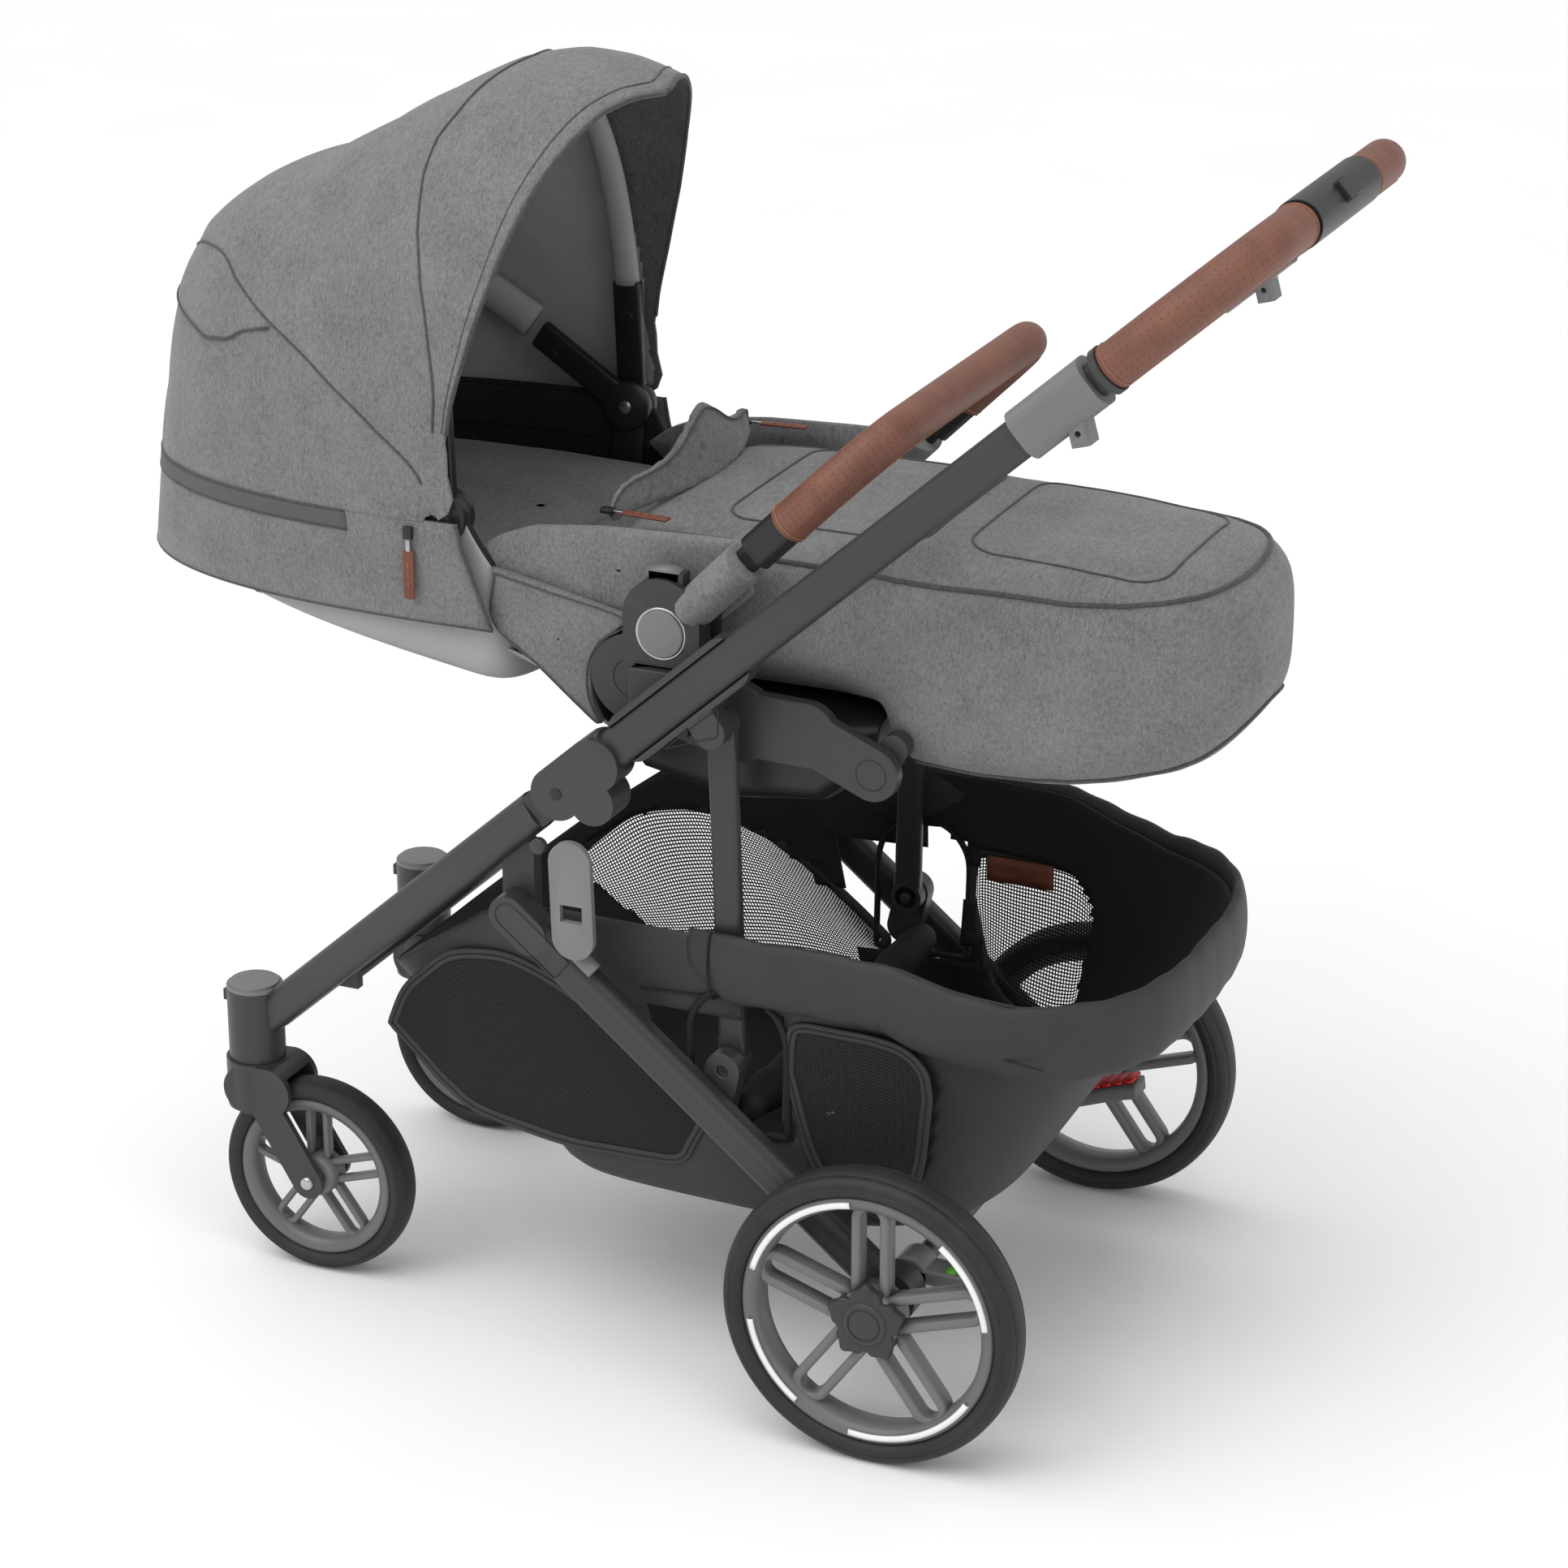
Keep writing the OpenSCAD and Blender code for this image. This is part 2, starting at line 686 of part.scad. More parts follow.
adaptor_y0 = 185;
adaptor_y1 = 207;
button_at = [84, 668];
module seat_adaptor() {
    color(charcoal) difference() {
        union() {
            plate(adaptor_y0, adaptor_y1) {
                circle_at([84, 680], 34);
                translate([50, 640]) square([68, 40]);
            }
            translate([69, tongue_y0, 600]) cube([30, tongue_y1 - tongue_y0, 41]);
            plate(arm_y1 + gap, adaptor_y0 + 2) stadium([84, 664], [62, 660], 20);
        }
        peg(button_at, 20 + gap, adaptor_y1 - 8, adaptor_y1 + 5);
    }
    color(light_grey) translate([72, adaptor_y0 + 4, 710]) cube([30, 14, 9]);
}
module seat_adaptor_left() { side(-1) seat_adaptor(); }
module seat_adaptor_right() { side(1) seat_adaptor(); }

module seat_button(s) { side(s) color(light_grey) peg(button_at, 20, adaptor_y1 - 4, adaptor_y1 + 2); }
module seat_button_left() { seat_button(-1); }
module seat_button_right() { seat_button(1); }

// The foot cover is a padded sleeve in two parts that meet over the calf hinge.
boot_n = 40;
function boot_ring(x, w, z0, z1, t) = cross_ring(x, w - t, z0 + t, z1 - t, 4.5, boot_n);
boot_split = 258;
module boot_body() {
    sections = [
        [10, boot_half - 3, 606, 733], [120, boot_half, 603, 735],
        [boot_split - 4, boot_half, 603, 734]
    ];
    place() color(fabric) skin(concat(
        [for (q = sections) boot_ring(q[0], q[1], q[2], q[3], 0)],
        [for (i = [len(sections) - 1:-1:0]) let (q = sections[i]) boot_ring(q[0], q[1], q[2], q[3], pad_t)]
    ), loop = true);
}

module boot_foot() {
    sections = [
        [boot_split + 4, boot_half, 548, 734], [330, boot_half + 1, 545, 732],
        [410, boot_half - 3, 550, 731], [460, boot_half - 18, 560, 729],
        [500, boot_half - 46, 572, 724], [524, boot_half - 80, 594, 713],
        [536, boot_half - 112, 622, 694]
    ];
    last = len(sections) - 1;
    place() color(fabric) skin(concat(
        [for (i = [last:-1:0]) let (q = sections[i], x = q[0] - (i == last ? pad_t : 0))
            boot_ring(x, q[1], q[2], q[3], pad_t)],
        [for (q = sections) boot_ring(q[0], q[1], q[2], q[3], 0)]
    ));
}

// Lugs and pins on the foot cover's sides that turn in the side arms.
module calf_lugs() {
    for (s = [-1, 1]) side(s) color(charcoal) {
        plate(boot_half - 0.5, arm_y0 - 0.6) stadium(calf_pivot, calf_pivot + [14, 20], 12);
        peg(calf_pivot, 6, arm_y0 - 4, arm_y0 + 7);
    }
}

bumper_tip = [262, 842];
bumper_dir = (bumper_tip - bumper_foot) / norm(bumper_tip - bumper_foot);
function bumper_at(s) = bumper_foot + s * bumper_dir;
bumper_bend = 62;
bumper_len = norm(bumper_tip - bumper_foot);
bumper_y = 190;
bumper_end_y = bumper_y - bumper_bend - ring / 2;
module bumper_sockets() {
    mouth = bumper_at(57);
    for (s = [-1, 1]) side(s) color(black) {
        along([bumper_foot[0], bumper_y, bumper_foot[1]], [mouth[0], bumper_y, mouth[1]]) difference() {
            linear_extrude(46) round_rect(30, 22, 9);
            translate([0, 0, 12]) linear_extrude(60) round_rect(22.6, 14.6, 6.3);
        }
        translate([100, 181, 655]) cube([26, 4, 45]);
        plate(179.5, 182.6) stadium([112, 690], [126, 706], 11);
    }
}

module half_bumper(r, s0) {
    slope = atan2(bumper_dir[1], bumper_dir[0]);
    half_u(r, bumper_foot, slope, s0, bumper_len - bumper_bend, bumper_y, bumper_bend);
}
module bumper_bar() {
    place() color(black) {
        peg(bumper_tip, 9, -bumper_end_y, bumper_end_y);
        for (s = [-1, 1]) mirror([0, s < 0 ? 1 : 0, 0]) {
            a = bumper_at(16);
            b = bumper_at(61);
            c = bumper_at(60);
            d = bumper_at(96);
            bar([a[0], bumper_y, a[1]], [b[0], bumper_y, b[1]], 22, 14, 6);
            bar([c[0], bumper_y, c[1]], [d[0], bumper_y, d[1]], 32, 24, 11);
            half_bumper(9, 92);
        }
    }
}
module bumper_grip() {
    place() color(tan) difference() {
        union() {
            peg(bumper_tip, 17, -bumper_end_y, bumper_end_y);
            for (s = [-1, 1]) mirror([0, s < 0 ? 1 : 0, 0]) half_bumper(17, 96.4);
        }
        peg(bumper_tip, 9, -bumper_end_y, bumper_end_y);
        for (s = [-1, 1]) mirror([0, s < 0 ? 1 : 0, 0]) half_bumper(9, 80);
    }
}

// ---------- seat back and hood ----------

rail_y = 162;
module back_rails() {
    for (s = [-1, 1]) side(s) color(charcoal) {
        bar([-325, rail_y - 16, 637], [seat_pivot[0] - 10, rail_y, seat_pivot[1] - 2], 16, 12, 5);
        peg(seat_pivot, 8, rail_y - 6, arm_y0 + 7);
        peg(hood_pivot, 11, tub_half - 5, hood_half - 5);
    }
}

tub_n = 44;
tub_half = 182;
tub_head = 323;
tub_foot = 65;
// Head tub outline round the hood's pivot, at fraction f from its sloping bottom to its edge,
// drawn in by t: rounder at the head and squarer at the foot.
function tub_ring(f, t, head_z, slope, fill = 1) = [
    for (i = [0:tub_n - 1])
        let (
            a = 360 * (i + 0.5) / tub_n,
            n = cos(a) < 0 ? 2.6 : 5,
            x = hood_pivot[0] + ((cos(a) < 0 ? tub_head : tub_foot) - t) * sgn_pow(cos(a), n) * fill,
            y = (tub_half - t) * sgn_pow(sin(a), n) * fill,
            low = head_z - (x - hood_pivot[0] + tub_head) * slope,
            edge = lookup(x, [[-110, 738], [-60, 650]])
        )
        [x, y, low + (edge - low) * f]
];
module head_tub() {
    place() color(fabric) skin([
        tub_ring(0, 0, 652, 0.16, 0.94), tub_ring(0.25, 0, 652, 0.16), tub_ring(1, 0, 652, 0.16),
        tub_ring(1, pad_t, 652, 0.16), tub_ring(0.2, pad_t, 662, 0.03), tub_ring(0, pad_t, 662, 0.03, 0.95)
    ]);
}

module mattress() {
    t = pad_t + 6;
    place() color(light_grey) skin([
        tub_ring(0, t, 663, 0.03, 0.9), tub_ring(0, t, 672, 0.03, 0.97),
        tub_ring(0, t, 686, 0.03, 0.97), tub_ring(0, t, 694, 0.03, 0.9)
    ]);
}

// The hood's middle line in the side view, from the head end to the visor
hood_line = [
    [-462, 732], [-452, 790], [-432, 880], [-407, 930], [-360, 965], [-300, 985], [-240, 1018],
    [-190, 1046], [-140, 1071], [-100, 1080], [-60, 1077], [-20, 1065], [0, 1054]
];
hood_table = [
    for (i = [len(hood_line) - 1:-1:0]) let (d = hood_line[i] - hood_pivot) [atan2(d[1], d[0]), norm(d)]
];
function hood_reach(a) = lookup(a, hood_table);
hood_n = 25;
hub_clear = 14;
// One band of the hood in the plane at angle a about its pivot, w wide at the sides.
function hood_curve(a, w, drop, flip) =
    let (r = hood_reach(a) - drop, t0 = asin(pow(hub_clear / r, 1.3)))
    [
        for (i = [0:hood_n - 1])
            let (
                q = t0 + (180 - 2 * t0) * (flip ? hood_n - 1 - i : i) / (hood_n - 1),
                reach = r * sgn_pow(sin(q), 2.6)
            )
            [hood_pivot[0] + reach * cos(a), w * sgn_pow(cos(q), 2.6), hood_pivot[1] + reach * sin(a)]
    ];
function hood_band(a, w, t) = concat(hood_curve(a, w, 0, false), hood_curve(a, w - t, t, true));
// The skirt below the hood carries the same outline straight down round the head tub.
skirt_drop = 88;
function skirt_curve(f, w, t, flip) = [
    for (p = hood_curve(180, w, t, flip))
        let (near = (p[0] - (hood_pivot[0] - hood_reach(180))) / (hood_reach(180) - hub_clear))
        [p[0] + near * 50 * f - 14 * f * (1 - near), p[1] * (1 - 0.03 * f), p[2] - skirt_drop * f]
];
function skirt_band(f, w, t) = concat(skirt_curve(f, w, 0, false), skirt_curve(f, w - t, t, true));
rear_bow_angle = 148;
front_bow_angle = 93;
module hood_rear() {
    place() color(fabric) arch_skin(concat(
        [for (a = [rear_bow_angle:8:180]) hood_band(a, hood_half, hood_t)],
        [for (f = [0.001, 0.5, 1]) skirt_band(f, hood_half, hood_t)]
    ));
}
module hood_mid() {
    place() color(fabric) arch_skin(
        [for (i = [0:6]) hood_band(
            front_bow_angle + 1 + (rear_bow_angle - 1 - front_bow_angle) * i / 6.1, hood_half - 0.5, hood_t
        )]
    );
}
module hood_front() {
    w = hood_half + hood_t + 1;
    place() {
        color(fabric) arch_skin([for (a = [70:4.6:93]) hood_band(a, w, hood_t)]);
        color(black) arch_skin([for (a = [88, 90]) concat(
            hood_curve(a, w - hood_t - 0.5, hood_t + 2, false),
            hood_curve(a, w - hood_t - 8, hood_t + 10, true)
        )]);
    }
}

front_leg_left();
front_leg_right();
caster_housing_left();
caster_housing_right();
caster_caps();
front_cross_tube();
upper_tube_left();
upper_tube_right();
fold_housing_left();
fold_housing_right();
frame_pins();
strut_brackets();
seat_mounts();
fold_collar_left();
fold_collar_right();
handle_bar();
handle_grip_left();
handle_grip_right();
handle_housing();
handle_button();
fold_strut_left();
fold_strut_right();
rear_leg_left();
rear_leg_right();
rear_axle_tube();
rear_cross_tube();
strut_feet();
basket();
basket_rim();
rear_rim_left();
rear_rim_right();
rear_tyre_left();
rear_tyre_right();
caster_fork_left();
caster_fork_right();
front_rim_left();
front_rim_right();
front_tyre_left();
front_tyre_right();
brake_pedal_left();
brake_pedal_right();
storage_latch();
seat_shell();
side_arms();
seat_adaptor_left();
seat_adaptor_right();
boot_body();
bumper_sockets();
seat_button_left();
seat_button_right();
back_rails();
head_tub();
mattress();
hood_rear();
hood_mid();
hood_front();
boot_foot();
calf_lugs();
bumper_bar();
bumper_grip();
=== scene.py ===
"""Looks of a baby stroller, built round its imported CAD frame. All lengths are in metres."""

import json
import math

import bmesh
import bpy
import numpy as np
from mathutils import Matrix, Vector
from mathutils.bvhtree import BVHTree

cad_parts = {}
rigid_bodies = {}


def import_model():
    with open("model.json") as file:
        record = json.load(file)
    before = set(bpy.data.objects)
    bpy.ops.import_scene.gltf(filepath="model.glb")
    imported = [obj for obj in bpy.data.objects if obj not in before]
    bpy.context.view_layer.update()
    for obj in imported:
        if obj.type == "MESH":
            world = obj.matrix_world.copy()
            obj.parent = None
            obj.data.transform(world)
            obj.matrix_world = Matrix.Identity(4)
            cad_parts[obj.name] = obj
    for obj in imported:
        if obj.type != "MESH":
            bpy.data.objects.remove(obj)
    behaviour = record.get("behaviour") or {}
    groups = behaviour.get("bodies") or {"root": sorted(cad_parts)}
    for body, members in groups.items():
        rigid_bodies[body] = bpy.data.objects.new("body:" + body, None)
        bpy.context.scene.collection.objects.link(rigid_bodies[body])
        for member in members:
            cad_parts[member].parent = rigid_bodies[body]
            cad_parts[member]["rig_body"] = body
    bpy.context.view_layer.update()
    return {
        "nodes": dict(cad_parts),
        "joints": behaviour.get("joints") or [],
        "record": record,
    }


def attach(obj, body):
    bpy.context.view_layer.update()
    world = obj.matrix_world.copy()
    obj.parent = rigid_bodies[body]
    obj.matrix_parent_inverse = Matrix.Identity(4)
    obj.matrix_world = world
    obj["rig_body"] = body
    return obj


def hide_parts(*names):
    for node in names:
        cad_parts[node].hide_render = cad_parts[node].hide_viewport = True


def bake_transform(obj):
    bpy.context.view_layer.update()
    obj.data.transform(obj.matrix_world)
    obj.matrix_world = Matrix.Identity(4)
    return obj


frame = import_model()
JOINTS = {j["name"]: j for j in frame["joints"]}
MM = 0.001
SIDES = {"left": -1, "right": 1}


def pivot(joint):
    """The point a hinge turns about, in the row frame."""
    return Vector(JOINTS[joint]["pos_m"])


# ---------------------------------------------------------------- camera, light, floor

def add_camera():
    azimuth, elevation = math.radians(23.71), math.radians(21.49)
    camera = bpy.data.objects.new("camera", bpy.data.cameras.new("camera"))
    bpy.context.scene.collection.objects.link(camera)
    camera.location = (1.4858 + pivot("seat_recline").x - 0.047, -3.1525, 1.8224)
    camera.rotation_euler = (math.pi / 2 - elevation, 0, azimuth)
    camera.data.lens = 98.83
    camera.data.sensor_width = 36
    bpy.context.scene.camera = camera


def add_light(name, location, aim, size, energy, colour=(1, 1, 1)):
    lamp = bpy.data.objects.new(name, bpy.data.lights.new(name, "AREA"))
    bpy.context.scene.collection.objects.link(lamp)
    lamp.location = location
    lamp.rotation_euler = (Vector(aim) - Vector(location)).to_track_quat("-Z", "Y").to_euler()
    lamp.data.size = size
    lamp.data.energy = energy
    lamp.data.color = colour


def add_studio():
    world = bpy.data.worlds.new("studio")
    bpy.context.scene.world = world
    world.use_nodes = True
    world.node_tree.nodes["Background"].inputs["Color"].default_value = (1, 1, 1, 1)
    world.node_tree.nodes["Background"].inputs["Strength"].default_value = 0.66
    sun = bpy.data.objects.new("sun", bpy.data.lights.new("sun", "SUN"))
    bpy.context.scene.collection.objects.link(sun)
    sun.rotation_euler = (math.radians(16), math.radians(-12), 0)
    sun.data.angle = math.radians(70)
    sun.data.energy = 1.55
    add_light("key", (-1.6, -2.6, 3.0), (0, 0, 0.6), 2.0, 26)
    add_light("side", (2.8, -1.6, 1.8), (0, 0, 0.5), 1.6, 12)
    bpy.ops.mesh.primitive_plane_add(size=30, location=(0, 0, 0))
    floor = bpy.context.object
    floor.name = "floor"
    floor.data.materials.append(floor_material())
    bpy.context.scene.view_settings.view_transform = "Standard"


# ---------------------------------------------------------------- materials

class Shader:
    """A Principled material with short calls for its nodes."""

    def __init__(self, name, colour=(0.5, 0.5, 0.5), roughness=0.5, **sockets):
        self.material = bpy.data.materials.new(name)
        self.material.use_nodes = True
        self.tree = self.material.node_tree
        self.bsdf = self.tree.nodes["Principled BSDF"]
        self.bsdf.inputs["Base Color"].default_value = (*colour, 1)
        self.bsdf.inputs["Roughness"].default_value = roughness
        for key, value in sockets.items():
            self.bsdf.inputs[key.replace("_", " ")].default_value = value

    def node(self, kind, inputs=None, **settings):
        n = self.tree.nodes.new(kind)
        for key, value in settings.items():
            setattr(n, key, value)
        for key, value in (inputs or {}).items():
            if isinstance(value, bpy.types.NodeSocket):
                self.tree.links.new(value, n.inputs[key])
            else:
                n.inputs[key].default_value = value
        return n

    def coords(self, uv=False):
        return self.node("ShaderNodeTexCoord").outputs["UV" if uv else "Object"]

    def mapped(self, vector, scale=(1, 1, 1), turn=(0, 0, 0)):
        return self.node("ShaderNodeMapping", {"Vector": vector, "Scale": scale, "Rotation": turn}).outputs["Vector"]

    def noise(self, vector, scale, detail=2.0, roughness=0.5):
        return self.node(
            "ShaderNodeTexNoise", {"Vector": vector, "Scale": scale, "Detail": detail, "Roughness": roughness}
        ).outputs["Fac"]

    def ramp(self, fac, stops):
        n = self.node("ShaderNodeValToRGB", {"Fac": fac})
        ramp = n.color_ramp
        while len(ramp.elements) < len(stops):
            ramp.elements.new(0.5)
        for element, (place, value) in zip(ramp.elements, stops):
            element.position = place
            element.color = (*value, 1) if hasattr(value, "__len__") else (value, value, value, 1)
        return n.outputs["Color"]

    def maths(self, operation, a, b=0.0):
        n = self.node("ShaderNodeMath", {0: a, 1: b}, operation=operation)
        return n.outputs["Value"]

    def mix(self, fac, a, b, blend="MIX"):
        n = self.node("ShaderNodeMix", data_type="RGBA", blend_type=blend)
        for key, value in ((0, fac), (6, a), (7, b)):
            if isinstance(value, bpy.types.NodeSocket):
                self.tree.links.new(value, n.inputs[key])
            elif key == 0:
                n.inputs[key].default_value = value
            else:
                n.inputs[key].default_value = (*value, 1)
        return n.outputs[2]

    def set(self, socket, value):
        self.tree.links.new(value, self.bsdf.inputs[socket])

    def bump(self, height, strength, distance):
        n = self.node("ShaderNodeBump", {"Height": height, "Strength": strength, "Distance": distance})
        self.set("Normal", n.outputs["Normal"])


def floor_material():
    s = Shader("floor_pale", (0.86, 0.86, 0.86), 0.6, Specular_IOR_Level=0.25)
    v = s.coords()
    s.set("Base Color", s.ramp(s.noise(v, 3, 3), [(0.3, 0.89), (0.7, 0.91)]))
    return s.material


def melange(name, dark, light, uv=True, pitch=1.5 * MM, tint=(1, 1, 1.01), depth=0.5):
    """Heathered twill: diagonal ribs, flecked yarns and slow changes of shade."""
    s = Shader(name, roughness=0.92, Specular_IOR_Level=0.2, Sheen_Weight=0.15, Sheen_Roughness=0.5)
    v = s.coords(uv)
    turn = (0, 0, math.radians(38)) if uv else (0, math.radians(35), math.radians(45))
    ribs = s.node(
        "ShaderNodeTexWave",
        {"Vector": s.mapped(v, turn=turn), "Scale": 0.314 / pitch, "Distortion": 1.2, "Detail": 1.0,
         "Detail Scale": 60.0},
        wave_type="BANDS", bands_direction="X",
    ).outputs["Fac"]
    flecks = s.noise(s.mapped(v, (1, 0.55, 0.8)), 900, 2, 0.7)
    streaks = s.noise(s.mapped(v, (1, 0.3, 0.5)), 420, 3, 0.6)
    clouds = s.noise(v, 22, 3)
    mixed = s.maths("ADD", s.maths("MULTIPLY", flecks, 0.55), s.maths("MULTIPLY", streaks, 0.45))
    mixed = s.maths("ADD", mixed, s.maths("MULTIPLY", s.maths("SUBTRACT", clouds, 0.5), 0.22))
    mixed = s.maths("ADD", mixed, s.maths("MULTIPLY", s.maths("SUBTRACT", ribs, 0.5), 0.10 if uv else 0.02))
    low = tuple(dark * t for t in tint)
    high = tuple(light * t for t in tint)
    middle = tuple((dark * 0.45 + light * 0.55) * t for t in tint)
    s.set("Base Color", s.ramp(mixed, [(0.3, low), (0.5, middle), (0.7, high)]))
    height = s.maths("ADD", s.maths("MULTIPLY", ribs, 0.7 if uv else 0.12), s.maths("MULTIPLY", flecks, 0.5))
    s.bump(height, depth, 0.4 * MM)
    return s.material


def plain_cloth(name, colour, uv=False, scale=900, spread=0.12, roughness=0.85, wrinkle=0.0):
    """Smooth woven lining or coated cloth with a fine grain in its bump."""
    s = Shader(name, colour, roughness, Specular_IOR_Level=0.3)
    v = s.coords(uv)
    grain = s.noise(v, scale, 2)
    shade = s.noise(v, 14, 4)
    both = s.maths("ADD", s.maths("MULTIPLY", grain, 0.5), s.maths("MULTIPLY", shade, 0.5))
    low = tuple(c * (1 - spread) for c in colour)
    high = tuple(c * (1 + spread) for c in colour)
    s.set("Base Color", s.ramp(both, [(0.35, low), (0.65, high)]))
    height = s.maths("ADD", grain, s.maths("MULTIPLY", s.noise(v, 25, 3), wrinkle))
    s.bump(height, 0.35, 0.3 * MM + wrinkle * 0.5 * MM)
    return s.material


def open_mesh(name, pitch=2.8 * MM, share=0.62, colour=0.012):
    """Black net: a grid of threads with see-through holes, in the piece's own UV metres."""
    s = Shader(name, (colour,) * 3, 0.7, Specular_IOR_Level=0.3)
    v = s.node("ShaderNodeSeparateXYZ", {"Vector": s.coords(True)})
    holes = []
    for axis in ("X", "Y"):
        cell = s.maths("FRACT", s.maths("DIVIDE", v.outputs[axis], pitch))
        holes.append(s.maths("LESS_THAN", cell, share))
    hole = s.maths("MULTIPLY", holes[0], holes[1])
    s.set("Alpha", s.maths("SUBTRACT", 1.0, hole))
    s.set("Base Color", s.ramp(s.noise(s.coords(), 300, 2), [(0.3, colour * 0.8), (0.7, colour * 1.3)]))
    return s.material


def ribbed_net(name, colour=0.014, pitch=3.2 * MM):
    """Close double net in front of a dark backing: vertical ribs, not see-through."""
    s = Shader(name, (colour,) * 3, 0.8, Specular_IOR_Level=0.25)
    v = s.coords(True)
    ribs = s.node(
        "ShaderNodeTexWave", {"Vector": v, "Scale": 0.314 / pitch, "Distortion": 0.3},
        wave_type="BANDS", bands_direction="X",
    ).outputs["Fac"]
    rows = s.node(
        "ShaderNodeTexWave", {"Vector": v, "Scale": 0.314 / (pitch * 0.7), "Distortion": 0.3},
        wave_type="BANDS", bands_direction="Y",
    ).outputs["Fac"]
    dots = s.maths("MULTIPLY", ribs, s.maths("ADD", 0.5, s.maths("MULTIPLY", rows, 0.5)))
    s.set("Base Color", s.ramp(dots, [(0.2, colour * 0.35), (0.8, colour * 2.2)]))
    s.bump(dots, 0.6, 0.5 * MM)
    return s.material


def leather(name, colour=(0.245, 0.085, 0.045), perforated=True):
    """Tan leather: pebbled grain, worn lighter patches and rows of punched dots."""
    s = Shader(name, colour, 0.52, Specular_IOR_Level=0.4)
    v = s.coords()
    cells = s.node("ShaderNodeTexVoronoi", {"Vector": v, "Scale": 620.0}, feature="DISTANCE_TO_EDGE").outputs["Distance"]
    shade = s.noise(v, 38, 4)
    low = tuple(c * 0.82 for c in colour)
    high = tuple(c * 1.16 for c in colour)
    base = s.ramp(shade, [(0.3, low), (0.7, high)])
    grain = s.ramp(cells, [(0.0, 0.0), (0.12, 1.0)])
    height = s.maths("MULTIPLY", grain, 0.35)
    if perforated:
        cell = s.node(
            "ShaderNodeTexVoronoi", {"Vector": s.mapped(s.coords(True), (1, 1, 0)), "Scale": 175.0, "Randomness": 0.0},
            voronoi_dimensions="2D", feature="F1",
        ).outputs["Distance"]
        dot = s.ramp(cell, [(0.085, 0.0), (0.12, 1.0)])
        base = s.mix(dot, tuple(c * 0.35 for c in colour), base)
        height = s.maths("ADD", height, s.maths("MULTIPLY", dot, 0.8))
    s.set("Base Color", base)
    s.set("Roughness", s.maths("ADD", 0.42, s.maths("MULTIPLY", shade, 0.2)))
    s.bump(height, 0.4, 0.35 * MM)
    return s.material


def moulded(name, colour, roughness=0.45, grain=0.25, scale=1400, metallic=0.0):
    """Moulded plastic or powder-coated metal: fine texture, convex edges painted lighter and uneven gloss."""
    s = Shader(name, colour, roughness, Metallic=metallic, Specular_IOR_Level=0.45)
    v = s.coords()
    speck = s.noise(v, scale, 2)
    broad = s.noise(v, 9, 4)
    # convex edges, found by pointiness, get a lighter colour mixed in
    convex_edge_mask = s.ramp(s.node("ShaderNodeNewGeometry").outputs["Pointiness"], [(0.5, 0.0), (0.62, 1.0)])
    base = s.ramp(broad, [(0.3, tuple(c * 0.92 for c in colour)), (0.7, tuple(c * 1.07 for c in colour))])
    lighter = tuple(min(1.0, c * 1.6 + 0.01) for c in colour)
    s.set("Base Color", s.mix(s.maths("MULTIPLY", convex_edge_mask, 0.35), base, lighter))
    s.set("Roughness", s.maths("ADD", roughness - 0.06, s.maths("MULTIPLY", broad, 0.12)))
    s.bump(speck, grain, 0.12 * MM)
    return s.material


def rubber(name, colour=0.02):
    s = Shader(name, (colour,) * 3, 0.6, Specular_IOR_Level=0.35)
    v = s.coords()
    dust = s.noise(v, 18, 5, 0.65)
    s.set("Base Color", s.ramp(dust, [(0.35, colour * 0.8), (0.7, colour * 1.5)]))
    s.set("Roughness", s.maths("ADD", 0.5, s.maths("MULTIPLY", dust, 0.2)))
    s.bump(s.noise(v, 900, 2), 0.25, 0.2 * MM)
    return s.material


